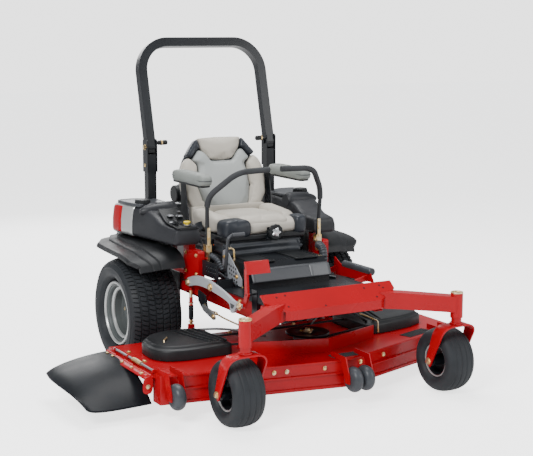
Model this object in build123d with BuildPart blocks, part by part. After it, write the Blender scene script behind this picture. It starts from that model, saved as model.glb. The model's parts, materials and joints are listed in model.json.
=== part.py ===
from build123d import *
from math import atan2, cos, degrees, radians, sin
import os

# Zero turn mower, built about a working datum: the centre plane is x = 0, the rear axle is
# y = 0 and the ground is z = 0. The operator's left is +X, the front is -Y, +Z is up.
# write() moves each finished piece to the part's own origin, the middle of its footprint.
# All sizes are millimetres.

# --- wheels and stance -----------------------------------------------------------------
drive_tyre_d = 610.0
drive_tyre_w = 300.0
drive_rim_d = 305.0
drive_track = 1144.0
caster_tyre_d = 330.0
caster_tyre_w = 165.0
caster_rim_d = 152.0
caster_track = 1210.0
wheelbase = 1225.0
caster_trail = 86.0

# --- chassis ---------------------------------------------------------------------------
rail_inner = 290.0
rail_w = 50.0
rail_h = 100.0
rail_wall = 4.0
rail_z = 410.0
rail_front = 1042.0
rail_rear = 640.0
sheet = 5.0
tower_outer = 402.0
tower_w = 36.0
tower_top = 683.0
tower_front = 420.0
tower_rear = 240.0
tank_low = 706.0
pivot_tube_d = 63.5
pivot_tube_z = 400.0
pivot_tube_h = 124.0
kingpin_d = 31.75
fit_gap = 0.05
seat_gap = 0.3
fork_bar = 10.0
fork_w = 76.0
guard_tube_d = 38.0
guard_rear = 745.0

# --- nose beam -------------------------------------------------------------------------
nose_top_half = 380.0
nose_front_half = 265.0
nose_top = 565.0
nose_front = 1140.0
nose_top_y = 1047.0
nose_strip_top = 493.0
nose_bottom = 446.0

# --- roll bar --------------------------------------------------------------------------
rops_tube = 51.0
rops_wall = 4.0
rops_half = 383.0
rops_y = 223.0
rops_pivot_z = 1182.0
rops_top = 1791.0
rops_lean = 150.0
rops_bend = 170.0
rops_foot_z = 415.0

# --- operator station ------------------------------------------------------------------
lever_x = 340.0
lever_y = 404.0
lever_pivot_z = 640.0
lever_swing_z = 700.0
lever_tube_d = 24.0
cushion_half = 255.0
cushion_front = 440.0
cushion_z = 738.0
cushion_h = 100.0
back_z = 835.0
back_h = 405.0
back_t = 110.0
recline = 15.0
seat_floor_z = 640.0

# --- cutting deck ----------------------------------------------------------------------
deck_mid = 38.0
deck_half = 923.0
deck_rear = 347.0
deck_front_right = 983.0
deck_apex = 1150.0
deck_apex_x = 50.0
deck_front_left = 845.0
deck_bottom = 75.0
deck_top = 217.0
deck_sheet = 5.0
wall_top = 287.0
spindle_pitch = 560.0
spindle_outer_y = 645.0
spindle_centre_y = 800.0
blade_len = 572.0
blade_z = 89.0
roller_d = 127.0
deflector_reach = 1261.0

# --- derived places --------------------------------------------------------------------
pivot_y = -(wheelbase + caster_trail)
caster_y = -wheelbase
deck_right = deck_mid - deck_half
deck_left = deck_mid + deck_half
rail_outer = rail_inner + rail_w
rail_top = rail_z + rail_h
front_end = wheelbase + caster_tyre_d / 2
mid_x = (deflector_reach - deck_left) / 2
mid_y = (front_end - guard_rear) / 2
SIDES = (("right", -1), ("left", 1))
parts = {}


def facing(origin, x_dir, z_dir):
    """A sketch plane through origin, from its own x direction and its normal."""
    return Plane(origin=origin, x_dir=x_dir, z_dir=z_dir)


def side_plane(x):
    """Sketch plane at x, drawn in (y, z), extruding towards +X."""
    return Plane.YZ.offset(x)


def front_plane(y):
    """Sketch plane at y, drawn in (x, z), extruding towards -Y."""
    return facing((0, y, 0), (1, 0, 0), (0, -1, 0))


def block(x, y, z, mode=Mode.ADD):
    """A box in the open part, from its (low, high) pair on each axis."""
    spans = [sorted(pair) for pair in (x, y, z)]
    centre = [(low + high) / 2 for low, high in spans]
    with Locations(tuple(centre)):
        Box(*(high - low for low, high in spans), mode=mode)


def rod(start, end, radius, mode=Mode.ADD):
    """A round bar in the open part, from start to end."""
    a, b = Vector(*start), Vector(*end)
    way = (b - a).normalized()
    across = Vector(1, 0, 0) if abs(way.X) < 0.9 else Vector(0, 1, 0)
    with BuildSketch(facing(a, way.cross(across), way)) as disc:
        Circle(radius)
    extrude(disc.sketch, amount=(b - a).length, mode=mode)


def outline(points, plane):
    """A closed polygon drawn on a plane, as a sketch."""
    with BuildSketch(plane) as drawn:
        with BuildLine():
            Polyline(*points, close=True)
        make_face()
    return drawn.sketch


def swept_tube(points, bends, radius):
    """A round bar that follows points, with one bend radius for each corner."""
    with BuildPart() as bar:
        with BuildLine() as path:
            FilletPolyline(*points, radius=bends)
        with BuildSketch(Plane(path.line @ 0, z_dir=path.line % 0)):
            Circle(radius)
        sweep(path=path.line)
    return bar.part


def hexagon_head(start, direction, across, height):
    """A hexagon nut or bolt head, standing on start and rising along direction."""
    with BuildPart() as head:
        with BuildSketch(Plane(start, z_dir=direction)):
            RegularPolygon(across / 2, 6, major_radius=False)
        extrude(amount=height)
    return head.part


def group(*pieces):
    """Several separate solids as one piece, in the part's own frame."""
    shift = Location((mid_x, mid_y, 0))
    solids = [solid.moved(shift) for piece in pieces for solid in piece.solids()]
    return solids[0] if len(solids) == 1 else Compound(solids)


def write(name, *pieces):
    """Moves a finished piece to the part's own origin and writes its STEP file."""
    placed = group(*pieces)
    placed.label = name
    parts[name] = placed
    export_step(placed, f"parts/{name}.step")


os.makedirs("parts", exist_ok=True)

# --- main frame: rails, cross-members, towers and bearings ------------------------------
lift_y = -262.0
lift_z = 474.0
lift_shaft_d = 28.0
bearing_t = 10.0
cross_front_y = -1065.0
cross_depth = 30.0
cross_h = 70.0
cradle_y = (285.0, 615.0)
cradle_t = 10.0
foot_h = 60.0
lever_stud_d = 16.0
frame_solids = []
for side, s in SIDES:
    with BuildPart() as rail:
        block((s * rail_inner, s * rail_outer), (-rail_front, rail_rear), (rail_z, rail_top))
        block((s * (rail_inner + rail_wall), s * (rail_outer - rail_wall)), (-rail_front, rail_rear),
              (rail_z + rail_wall, rail_top - rail_wall), Mode.SUBTRACT)
        rod((s * rail_inner, lift_y, lift_z), (s * rail_outer, lift_y, lift_z),
            lift_shaft_d / 2 + sheet, Mode.SUBTRACT)
    with BuildPart() as bearing:
        rod((s * rail_outer, lift_y, lift_z), (s * (rail_outer + bearing_t), lift_y, lift_z), lift_shaft_d)
        rod((s * rail_outer, lift_y, lift_z), (s * (rail_outer + bearing_t), lift_y, lift_z),
            lift_shaft_d / 2 + fit_gap, Mode.SUBTRACT)
    with BuildPart() as tower_foot:
        block((s * rail_outer, s * tower_outer), (-tower_front, lift_y - 2 * lift_shaft_d),
              (rail_top - foot_h, rail_top))
    with BuildPart() as tower:
        block((s * (tower_outer - tower_w), s * tower_outer), (-tower_front, -tower_rear), (rail_top, tower_top))
        block((s * (tower_outer - tower_w + sheet), s * (tower_outer - sheet)), (-tower_front + sheet, -tower_rear),
              (rail_top, tower_top - sheet), Mode.SUBTRACT)
        rod((s * (tower_outer - tower_w), -lever_y, lever_pivot_z), (s * lever_x, -lever_y, lever_pivot_z),
            lever_stud_d / 2)
        fillet(tower.edges().filter_by(Axis.X).group_by(Axis.Z)[-1].group_by(Axis.Y)[0], tower_w / 3)
        block((s * (tower_outer - tower_w), s * tower_outer), (-tower_rear - 2 * tower_w, -tower_rear),
              (tower_top, tank_low))
    frame_solids += [rail.part, bearing.part, tower_foot.part, tower.part]

with BuildPart() as front_cross:
    block((-nose_top_half, nose_top_half), (cross_front_y - cross_depth / 2, cross_front_y + cross_depth / 2),
          (nose_bottom, nose_bottom + cross_h))
    block((-nose_top_half + sheet, nose_top_half - sheet),
          (cross_front_y - cross_depth / 2 + sheet, cross_front_y + cross_depth / 2 - sheet),
          (nose_bottom + sheet, nose_bottom + cross_h - sheet), Mode.SUBTRACT)
frame_solids.append(front_cross.part)
for s in (-1, 1):
    with BuildPart() as gusset:
        block((s * rail_inner, s * rail_outer), (cross_front_y + cross_depth / 2, -rail_front),
              (nose_bottom, rail_top))
    frame_solids.append(gusset.part)
cross_places = ((-560.0, -500.0), (-180.0, -120.0), (rail_rear - rail_w, rail_rear))
for rear, front in cross_places:
    with BuildPart() as cross:
        block((-rail_inner, rail_inner), (rear, front), (rail_z, rail_z + rail_h / 2))
    frame_solids.append(cross.part)
with BuildPart() as cradle:
    block((-rail_outer, rail_outer), cradle_y, (rail_top, rail_top + cradle_t))
    with Locations((0, sum(cradle_y) / 2, rail_top + cradle_t / 2)):
        Box(rail_inner, 4 * cradle_t, cradle_t, mode=Mode.SUBTRACT)
frame_solids.append(cradle.part)
write("main_frame", *frame_solids)

# --- caster arms and pivot tubes --------------------------------------------------------
arm_w = 70.0
arm_root_x = 378.0
arm_root_z = (440.0, 524.0)
arm_tip_z = (430.0, 510.0)
tube_top = pivot_tube_z + pivot_tube_h
arm_solids = []
for side, s in SIDES:
    pivot_x = s * caster_track / 2
    root = Vector(s * arm_root_x, -nose_front, 0)
    tip = Vector(pivot_x, pivot_y, 0)
    along = (tip - root).normalized()
    reach = (tip - root).length
    with BuildPart() as arm:
        arm_side = facing((root.X, root.Y, 0), (along.X, along.Y, 0), (along.Y, -along.X, 0))
        profile = outline(((-reach, arm_root_z[0]), (0, arm_root_z[0]), (reach, arm_tip_z[0]),
                           (reach, arm_tip_z[1]), (0, arm_root_z[1]), (-reach, arm_root_z[1])), arm_side)
        extrude(profile, amount=arm_w / 2, both=True)
        block((-2 * caster_track, 2 * caster_track), (cross_front_y - cross_depth / 2, 0), (0, rops_pivot_z), Mode.SUBTRACT)
        rod((pivot_x, pivot_y, 0), (pivot_x, pivot_y, rops_pivot_z), pivot_tube_d / 2, Mode.SUBTRACT)
    with BuildPart() as tube:
        rod((pivot_x, pivot_y, pivot_tube_z), (pivot_x, pivot_y, tube_top), pivot_tube_d / 2)
        rod((pivot_x, pivot_y, pivot_tube_z), (pivot_x, pivot_y, tube_top), kingpin_d / 2 + fit_gap,
            Mode.SUBTRACT)
    arm_solids += [arm.part.solids().sort_by(SortBy.VOLUME)[-1], tube.part]
write("caster_arms", *arm_solids)

# --- nose beam and badge plate ----------------------------------------------------------
with BuildPart() as nose:
    extrude(outline(((-nose_top_y, nose_top), (-nose_front, nose_strip_top), (-nose_front, nose_bottom),
                     (-nose_top_y + sheet, nose_bottom), (-nose_top_y + sheet, nose_top)),
                    side_plane(-nose_top_half)), amount=2 * nose_top_half)
    corner_x = nose_top_half - nose_front_half
    for s in (-1, 1):
        corner = outline(((s * nose_front_half, -nose_front), (s * (nose_top_half + sheet), -nose_front),
                          (s * (nose_top_half + sheet), -nose_front + corner_x / 2)), Plane.XY.offset(nose_bottom))
        extrude(corner, amount=nose_top - nose_bottom, mode=Mode.SUBTRACT)
    inside = outline(((-nose_top_y - sheet, nose_top - 2 * sheet), (-nose_front + 2 * sheet, nose_strip_top - sheet),
                      (-nose_front + 2 * sheet, nose_bottom), (-nose_top_y + 2 * sheet, nose_bottom),
                      (-nose_top_y + 2 * sheet, nose_top - 2 * sheet)), side_plane(-nose_top_half))
    extrude(inside, amount=2 * nose_top_half, mode=Mode.SUBTRACT)
    for arm_solid in arm_solids[::2]:
        add(offset(arm_solid, amount=seat_gap, mode=Mode.PRIVATE), mode=Mode.SUBTRACT)
write("front_beam", nose.part.solids().sort_by(SortBy.VOLUME)[-1])

# --- caster forks, axle bolts, rims and tyres -------------------------------------------
fork_top = pivot_tube_z - 34.0
fork_half = 105.0
fork_bend = 36.0
caster_z = caster_tyre_d / 2
axle_d = 19.0
foot_r = 24.0
cap_h = 12.0
rim_flange = 8.0
for side, s in SIDES:
    pivot_x = s * caster_track / 2
    with BuildPart() as fork:
        with BuildSketch(front_plane(pivot_y + fork_w)) as arch:
            with BuildLine():
                Polyline((pivot_x - fork_half, 0), (pivot_x - fork_half, fork_top), (pivot_x + fork_half, fork_top),
                         (pivot_x + fork_half, 0), close=True)
            make_face()
            fillet(arch.vertices().group_by(Axis.Z)[-1], fork_bend)
            offset(arch.sketch, amount=-fork_bar, mode=Mode.SUBTRACT)
            with Locations((pivot_x, 0)):
                Rectangle(2 * (fork_half - fork_bar), 2 * fork_bar, mode=Mode.SUBTRACT)
        extrude(arch.sketch, amount=fork_w * 3, both=True)
        leg = outline(((pivot_y - fork_w / 2, fork_top), (pivot_y + fork_w / 2, fork_top),
                       (pivot_y + fork_w / 2, fork_top - fork_bend), (caster_y + foot_r, caster_z + foot_r),
                       (caster_y + foot_r, caster_z - foot_r * 2 / 3), (caster_y - foot_r, caster_z - foot_r * 2 / 3),
                       (pivot_y - fork_w / 2, fork_top - 2 * fork_bend)), side_plane(pivot_x))
        extrude(leg, amount=fork_half + fork_bar, both=True, mode=Mode.INTERSECT)
        rod((pivot_x - fork_half, caster_y, caster_z), (pivot_x + fork_half, caster_y, caster_z),
            axle_d / 2 + fit_gap, Mode.SUBTRACT)
        rod((pivot_x, pivot_y, fork_top), (pivot_x, pivot_y, pivot_tube_z - seat_gap), kingpin_d * 0.7)
        rod((pivot_x, pivot_y, fork_top), (pivot_x, pivot_y, tube_top + seat_gap + cap_h), kingpin_d / 2)
    with BuildPart() as cap:
        rod((pivot_x, pivot_y, tube_top + seat_gap), (pivot_x, pivot_y, tube_top + 2 * cap_h), pivot_tube_d / 2)
        rod((pivot_x, pivot_y, tube_top + seat_gap), (pivot_x, pivot_y, tube_top + seat_gap + cap_h),
            kingpin_d / 2 + fit_gap, Mode.SUBTRACT)
        fillet(cap.edges().group_by(Axis.Z)[-1], cap_h / 3)
    with BuildPart() as bolt:
        rod((pivot_x - fork_half - fork_bar, caster_y, caster_z), (pivot_x + fork_half + fork_bar, caster_y, caster_z),
            axle_d / 2)
    heads = [hexagon_head((pivot_x + e * fork_half, caster_y, caster_z), (e, 0, 0), 1.6 * axle_d, fork_bar)
             for e in (-1, 1)]
    with BuildPart() as axle_set:
        add(bolt.part)
        add(heads)
    write(f"caster_fork_{side}", fork.part, cap.part, axle_set.part)

    hub_half = fork_half - fork_bar - 2 * seat_gap
    rim_half = caster_tyre_w / 2 - 3 * rim_flange
    rim_r = caster_rim_d / 2
    rim_axis = Axis((pivot_x, caster_y, caster_z), (1, 0, 0))
    with BuildPart() as rim:
        section = facing((pivot_x, caster_y, caster_z), (1, 0, 0), (0, -1, 0))
        ring = outline(((-hub_half, axle_d / 2 + fit_gap), (hub_half, axle_d / 2 + fit_gap), (hub_half, axle_d),
                        (rim_flange, axle_d * 1.3), (rim_flange, rim_r - rim_flange), (rim_half, rim_r - rim_flange),
                        (rim_half, rim_r - seat_gap), (-rim_half, rim_r - seat_gap), (-rim_half, rim_r - rim_flange),
                        (-rim_flange, rim_r - rim_flange), (-rim_flange, axle_d * 1.3), (-hub_half, axle_d)), section)
        revolve(ring, axis=rim_axis)
    write(f"caster_rim_{side}", rim.part)
    with BuildPart() as tyre:
        with BuildSketch(section) as walls:
            with Locations((0, (rim_r + caster_tyre_d / 2) / 2)):
                RectangleRounded(caster_tyre_w, caster_tyre_d / 2 - rim_r, caster_tyre_w / 5)
            with Locations((0, rim_r)):
                Rectangle(2 * rim_half, 2 * rim_flange)
            with Locations((0, rim_r / 2)):
                Rectangle(caster_tyre_w, rim_r, mode=Mode.SUBTRACT)
        revolve(walls.sketch, axis=rim_axis)
    write(f"caster_tyre_{side}", tyre.part)

# --- drive units, rims and tyres --------------------------------------------------------
axle_z = drive_tyre_d / 2
motor_d = 128.0
motor_len = 90.0
drive_shaft_d = 35.0
dish_x = 24.0
dish_t = 10.0
drive_rim_half = drive_tyre_w / 2 - 32.0
lug_circle = 114.0
lug_count = 5
unit_solids = []
for side, s in SIDES:
    wheel_x = s * drive_track / 2
    face_x = s * rail_outer
    dish_in = wheel_x + s * dish_x
    dish_out = dish_in + s * dish_t
    with BuildPart() as unit:
        block((face_x, face_x + s * dish_t), (-motor_d / 2, motor_d / 2), (axle_z - motor_d / 2, rail_top))
        rod((face_x, 0, axle_z), (face_x + s * motor_len, 0, axle_z), motor_d / 2)
        rod((face_x, 0, axle_z), (dish_out + s * 2 * dish_t, 0, axle_z), drive_shaft_d / 2)
    with BuildPart() as pump:
        block((s * rail_inner, s * (rail_inner - motor_len)), (-motor_d / 2, motor_d / 2),
              (rail_z, rail_top - seat_gap))
    unit_solids += [unit.part, pump.part]
    drive_axis = Axis((wheel_x, 0, axle_z), (1, 0, 0))
    section = facing((wheel_x, 0, axle_z), (1, 0, 0), (0, -1, 0))
    rim_r = drive_rim_d / 2
    with BuildPart() as rim:
        with BuildSketch(section) as rings:
            with Locations((0, rim_r - rim_flange / 2 - seat_gap)):
                Rectangle(2 * drive_rim_half, rim_flange)
            dish_low = drive_shaft_d / 4
            dish_high = rim_r - rim_flange / 2
            with Locations((s * (dish_x + dish_t / 2), (dish_low + dish_high) / 2)):
                Rectangle(dish_t, dish_high - dish_low)
            for end in (-1, 1):
                with Locations((end * (drive_rim_half + rim_flange / 2), rim_r + rim_flange / 2)):
                    Rectangle(rim_flange, 3 * rim_flange)
        revolve(rings.sketch, axis=drive_axis)
        nut_plane = facing((dish_out, 0, axle_z), (0, 1, 0), (s, 0, 0))
        with BuildSketch(nut_plane) as nuts:
            with PolarLocations(lug_circle / 2, lug_count):
                RegularPolygon(drive_shaft_d / 3, 6)
        extrude(nuts.sketch, amount=dish_t * 1.5)
        rod((dish_in, 0, axle_z), (dish_out, 0, axle_z), drive_shaft_d / 2 + fit_gap, Mode.SUBTRACT)
    write(f"drive_rim_{side}", rim.part)
    with BuildPart() as tyre:
        with BuildSketch(section) as walls:
            with Locations((0, (rim_r + axle_z) / 2)):
                RectangleRounded(drive_tyre_w, axle_z - rim_r, drive_tyre_w / 6)
            with Locations((0, rim_r + 2 * rim_flange)):
                Rectangle(drive_tyre_w, 4 * rim_flange, mode=Mode.SUBTRACT)
            with Locations((0, rim_r + 2 * rim_flange)):
                Rectangle(2 * drive_rim_half - 2 * seat_gap, 4 * rim_flange)
            for end in (-1, 1):
                with Locations((end * (drive_rim_half + rim_flange), rim_r + 3 * rim_flange)):
                    Rectangle(4 * rim_flange, 2 * rim_flange - 2 * seat_gap)
        revolve(walls.sketch, axis=drive_axis)
    write(f"drive_tyre_{side}", tyre.part)
write("drive_units", *unit_solids)

# --- rear guard and hitch plate ---------------------------------------------------------
guard_r = guard_tube_d / 2
guard_x = 2 * guard_r + rail_inner - rail_w
guard_z = rail_z + rail_h / 2
hitch_r = 9.5
hitch_t = 10.0
hitch_y = guard_rear - 2 * guard_tube_d
with BuildPart() as guard_bar:
    rod((-guard_x - guard_r, guard_rear - guard_r, guard_z), (guard_x + guard_r, guard_rear - guard_r, guard_z), guard_r)
guard_solids = [guard_bar.part]
for s in (-1, 1):
    with BuildPart() as guard_arm:
        rod((s * guard_x, rail_rear, guard_z), (s * guard_x, guard_rear - guard_r, guard_z), guard_r)
        rod((-guard_x - guard_tube_d, guard_rear - guard_r, guard_z),
            (guard_x + guard_tube_d, guard_rear - guard_r, guard_z), guard_r, Mode.SUBTRACT)
    guard_solids.append(guard_arm.part)
with BuildPart() as hitch:
    block((-guard_tube_d * 2, guard_tube_d * 2), (rail_rear - rail_w, hitch_y + guard_tube_d), (rail_z - hitch_t, rail_z))
    with Locations((0, hitch_y, rail_z - hitch_t / 2)):
        Cylinder(hitch_r, hitch_t, mode=Mode.SUBTRACT)
    fillet(hitch.edges().filter_by(Axis.Z).group_by(Axis.Y)[-1], guard_tube_d / 2)
with BuildPart() as guard_plate:
    block((-guard_x, guard_x), (rail_rear, rail_rear + sheet), (rail_z, guard_z - guard_r))
guard_solids += [hitch.part, guard_plate.part]
write("rear_guard", *guard_solids)

# --- floor pan, console and kick plate --------------------------------------------------
pan_half = 360.0
console_front = 688.0
console_half = 240.0
console_rear = 180.0
kick_half = 170.0
kick_low = 547.0
kick_high = 610.0
kick_lean = 31.0
console_z = rail_top + sheet
with BuildPart() as floor:
    block((-pan_half, pan_half), (-nose_top_y + sheet, -tower_front - sheet), (rail_top, console_z))
write("floor_pan", floor.part)
with BuildPart() as console:
    shape = ((-console_front, console_z), (-console_front, kick_low), (-console_front + kick_lean, kick_high),
             (-console_front + 2 * kick_lean, seat_floor_z), (console_rear, seat_floor_z), (console_rear, console_z))
    extrude(outline(shape, side_plane(-console_half)), amount=2 * console_half)
    block((-console_half + sheet, console_half - sheet), (-console_front + 2 * kick_lean, console_rear),
          (console_z, seat_floor_z - sheet), Mode.SUBTRACT)
with BuildPart() as kick:
    extrude(outline(((-console_front, kick_low), (-console_front + kick_lean, kick_high),
                     (-console_front + kick_lean - sheet, kick_high), (-console_front - sheet, kick_low)),
                    side_plane(-kick_half)), amount=2 * kick_half)
write("seat_console", console.part, kick.part)

# --- fuel tanks and fenders -------------------------------------------------------------
tank_inner = 352.0
tank_outer = 600.0
tank_front = 347.0
tank_rear = 300.0
tank_top = 886.0
post_gap = 4.0
cap_x = 505.0
cap_y = 60.0
fuel_cap_d = 88.0
fuel_cap_h = 26.0
fender_out = 724.0
fender_t = 6.0
fender_gap = 24.0
fender_in = 490.0
fender_arc = (45.0, 135.0)
fender_pieces = 6
post_half = rops_tube / 2
fender_r = axle_z + fender_gap
for side, s in SIDES:
    with BuildPart() as tank:
        body = outline(((-tank_front, tank_low), (-tank_front, 790), (-200, 806), (-100, 871), (100, tank_top),
                        (tank_rear - 20, tank_top - 20), (tank_rear, tank_low), (0, tank_low)),
                       side_plane(s * tank_inner))
        extrude(body, amount=s * (tank_outer - tank_inner))
        plan = outline(((s * tank_inner, -tank_front), (s * 505, -tank_front), (s * tank_outer, 212),
                        (s * tank_outer, 278), (s * 560, tank_rear), (s * (rops_half + post_half + post_gap), tank_rear),
                        (s * (rops_half + post_half + post_gap), rops_y - post_half - post_gap),
                        (s * tank_inner, rops_y - post_half - post_gap)), Plane.XY)
        extrude(plan, amount=rops_pivot_z, mode=Mode.INTERSECT)
    with BuildPart() as cap:
        rod((s * cap_x, cap_y, tank_top - fuel_cap_h), (s * cap_x, cap_y, tank_top + fuel_cap_h), fuel_cap_d / 2)
        add(tank.part, mode=Mode.SUBTRACT)
    write(f"fuel_tank_{side}", tank.part, cap.part)
fender_solids = []
for side, s in SIDES:
    step = (fender_arc[1] - fender_arc[0]) / fender_pieces
    for index in range(fender_pieces):
        ends = [radians(fender_arc[0] + step * (index + e)) for e in (0, 1)]
        ring = [(-cos(a) * r, axle_z + sin(a) * r) for a, r in
                ((ends[0], fender_r), (ends[0], fender_r + fender_t), (ends[1], fender_r + fender_t), (ends[1], fender_r))]
        with BuildPart() as leaf:
            extrude(outline(ring, side_plane(s * fender_in)), amount=s * (fender_out - fender_in))
        fender_solids.append(leaf.part)
    with BuildPart() as bracket:
        block((s * fender_in, s * (fender_in + 6 * sheet)), (-0.8 * rail_w, 0.8 * rail_w),
              (axle_z + (fender_r + fender_t) * cos(radians(step / 2)), tank_low))
    fender_solids.append(bracket.part)
write("fenders", *fender_solids)
throttle_x = 452.0
throttle_pivot = (-265.0, 822.0)
panel_top = 806.0
with BuildPart() as panel:
    extrude(outline(((-tank_front + 4, 790.8), (-200, 806.6), (-200, 812), (-tank_front + 4, 798)),
                    side_plane(-tank_inner - 8)), amount=-110)
    block((-throttle_x - 8, -throttle_x - 3), (-290, -240), (panel_top, 832))
    rod((-throttle_x - 3, *throttle_pivot), (-throttle_x + 6, *throttle_pivot), 4)
write("control_panel", panel.part)

# --- roll bar: uprights, folding hoop and lock pins ---------------------------------------
plate_half = 32.0
plate_t = 5.0
plate_low = 100.0
plate_high = 44.0
pivot_bolt_d = 16.0
pin_d = 14.0
pin_up = 46.0
pin_travel = 12.0
knob_d = 26.0
upright_top = rops_pivot_z - 40.0
ears = []
for side, s in SIDES:
    with BuildPart() as upright:
        block((s * (rops_half - post_half), s * (rops_half + post_half)), (rops_y - post_half, rops_y + post_half),
              (rops_foot_z, upright_top))
        block((s * (rops_half - post_half + rops_wall), s * (rops_half + post_half - rops_wall)),
              (rops_y - post_half + rops_wall, rops_y + post_half - rops_wall), (rops_foot_z, upright_top), Mode.SUBTRACT)
    with BuildPart() as foot:
        block((s * rail_outer, s * (rops_half - post_half)), (rops_y - plate_half, rops_y + plate_half),
              (rops_foot_z, rail_top))
    ears += [upright.part, foot.part]
    for e in (-1, 1):
        inner_x = s * rops_half + e * (post_half + seat_gap)
        outer_x = inner_x + e * plate_t
        with BuildPart() as ear:
            block((inner_x, outer_x), (rops_y - plate_half, rops_y + plate_half),
                  (upright_top - plate_low, rops_pivot_z + plate_high))
            fillet(ear.edges().filter_by(Axis.X).group_by(Axis.Z)[-1], plate_half / 2)
            if e == -s:
                rod((inner_x, rops_y - rops_tube * 0.36, rops_pivot_z + pin_up * 0.5),
                    (outer_x, rops_y - rops_tube * 0.36, rops_pivot_z + pin_up * 0.5), pin_d / 2 + fit_gap, Mode.SUBTRACT)
            rod((inner_x, rops_y, rops_pivot_z), (outer_x, rops_y, rops_pivot_z), pivot_bolt_d / 2, Mode.SUBTRACT)
        ears.append(ear.part)
    with BuildPart() as pivot_bolt:
        ends_x = [s * rops_half + e * (post_half + seat_gap + plate_t) for e in (-1, 1)]
        rod((ends_x[0], rops_y, rops_pivot_z), (ends_x[1], rops_y, rops_pivot_z), pivot_bolt_d / 2)
        for e, end_x in zip((-1, 1), ends_x):
            add(hexagon_head((end_x, rops_y, rops_pivot_z), (e, 0, 0), 1.5 * pivot_bolt_d, pivot_bolt_d / 2))
    ears.append(pivot_bolt.part)
write("rops_uprights", *ears)

lean_angle = degrees(atan2(rops_lean, rops_top - rops_pivot_z))
hoop_rise = rops_top - rops_pivot_z - post_half * (cos(radians(lean_angle)) + sin(radians(lean_angle)))
hoop_up = hoop_rise / cos(radians(lean_angle))
lean = Vector(0, sin(radians(lean_angle)), cos(radians(lean_angle)))
hoop_plane = facing((0, rops_y, rops_pivot_z), (1, 0, 0), (0, -lean.Z, lean.Y))
with BuildPart() as hoop:
    with BuildSketch(hoop_plane) as loop:
        with BuildLine():
            Polyline((-rops_half, 0), (-rops_half, hoop_up), (rops_half, hoop_up), (rops_half, 0), close=True)
        make_face()
        fillet(loop.vertices().group_by(Axis.Y)[-1], rops_bend)
        offset(amount=post_half)
    with BuildSketch(hoop_plane) as hole:
        with BuildLine():
            Polyline((-rops_half, 0), (-rops_half, hoop_up), (rops_half, hoop_up), (rops_half, 0), close=True)
        make_face()
        fillet(hole.vertices().group_by(Axis.Y)[-1], rops_bend)
        offset(amount=-post_half)
        Rectangle(2 * (rops_half - post_half), 6 * rops_tube)
        with Locations((0, -rops_tube * 2)):
            Rectangle(4 * rops_half, rops_tube * 4)
    extrude(loop.sketch, amount=post_half, both=True)
    extrude(hole.sketch, amount=rops_tube, both=True, mode=Mode.SUBTRACT)
    rod((-rops_half - post_half, rops_y, rops_pivot_z), (-rops_half + post_half, rops_y, rops_pivot_z), post_half)
    rod((rops_half - post_half, rops_y, rops_pivot_z), (rops_half + post_half, rops_y, rops_pivot_z), post_half)
    rod((-rops_top, rops_y, rops_pivot_z), (rops_top, rops_y, rops_pivot_z), pivot_bolt_d / 2 + fit_gap, Mode.SUBTRACT)
write("rops_hoop", hoop.part)
for side, s in SIDES:
    with BuildPart() as pin:
        face_x = s * (rops_half - post_half - seat_gap - plate_t)
        at = (rops_y - rops_tube * 0.36, rops_pivot_z + pin_up * 0.5)
        rod((face_x + s * (plate_t - seat_gap), *at), (face_x - s * 2 * pin_travel, *at), pin_d / 2)
        rod((face_x - s * (pin_travel + seat_gap * 3), *at), (face_x - s * (pin_travel + knob_d), *at), knob_d / 2)
        rod((face_x - s * seat_gap, *at), (face_x - s * (pin_travel), *at), pin_d * 0.7)
    write(f"rops_pin_{side}", pin.part)

# --- steering levers --------------------------------------------------------------------
bracket_t = 12.0
bracket_half = 16.0
swing_bolt_d = 10.0
lever_bend = 60.0
fork_gap = 1.5
for side, s in SIDES:
    with BuildPart() as carrier:
        extrude(outline(((-lever_y - bracket_half, lever_pivot_z), (-lever_y - bracket_half, lever_swing_z - 16),
                         (-lever_y + bracket_half, lever_swing_z - 16), (-lever_y + bracket_half, lever_pivot_z)),
                        side_plane(s * lever_x - bracket_t / 2)), amount=bracket_t)
        rod((s * lever_x - bracket_t / 2, -lever_y, lever_pivot_z), (s * lever_x + bracket_t / 2, -lever_y, lever_pivot_z),
            bracket_half)
        rod((s * lever_x - bracket_t, -lever_y, lever_pivot_z), (s * lever_x + bracket_t, -lever_y, lever_pivot_z),
            lever_stud_d / 2 + fit_gap, Mode.SUBTRACT)
        for e in (-1, 1):
            block((s * lever_x - bracket_half, s * lever_x + bracket_half),
                  (-lever_y + e * (lever_tube_d / 2 + fork_gap), -lever_y + e * (lever_tube_d / 2 + sheet)),
                  (lever_swing_z - 24, lever_swing_z + 16))
        rod((s * lever_x, -lever_y - lever_tube_d / 2 - sheet, lever_swing_z),
            (s * lever_x, -lever_y + lever_tube_d / 2 + sheet, lever_swing_z), swing_bolt_d / 2)
        block((s * lever_x - bracket_half, s * lever_x + bracket_half),
              (-lever_y - lever_tube_d / 2 - sheet, -lever_y + lever_tube_d / 2 + sheet),
              (lever_swing_z - 24, lever_swing_z - 16))
    write(f"lever_bracket_{side}", carrier.part)
    bends = ((s * lever_x, -lever_y, lever_swing_z), (s * 349, -lever_y - 15, 967), (s * 227, -537, 1104),
             (s * 37, -525, 1107))
    with BuildPart() as bar:
        add(swept_tube(bends, (lever_bend, lever_bend), lever_tube_d / 2))
        rod((s * lever_x, -lever_y - lever_tube_d / 2 - fork_gap / 2, lever_swing_z),
            (s * lever_x, -lever_y + lever_tube_d / 2 + fork_gap / 2, lever_swing_z), lever_tube_d / 2)
        rod((s * lever_x, -lever_y - lever_tube_d, lever_swing_z), (s * lever_x, -lever_y + lever_tube_d, lever_swing_z),
            swing_bolt_d / 2 + fit_gap, Mode.SUBTRACT)
    write(f"control_lever_{side}", bar.part)

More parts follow.
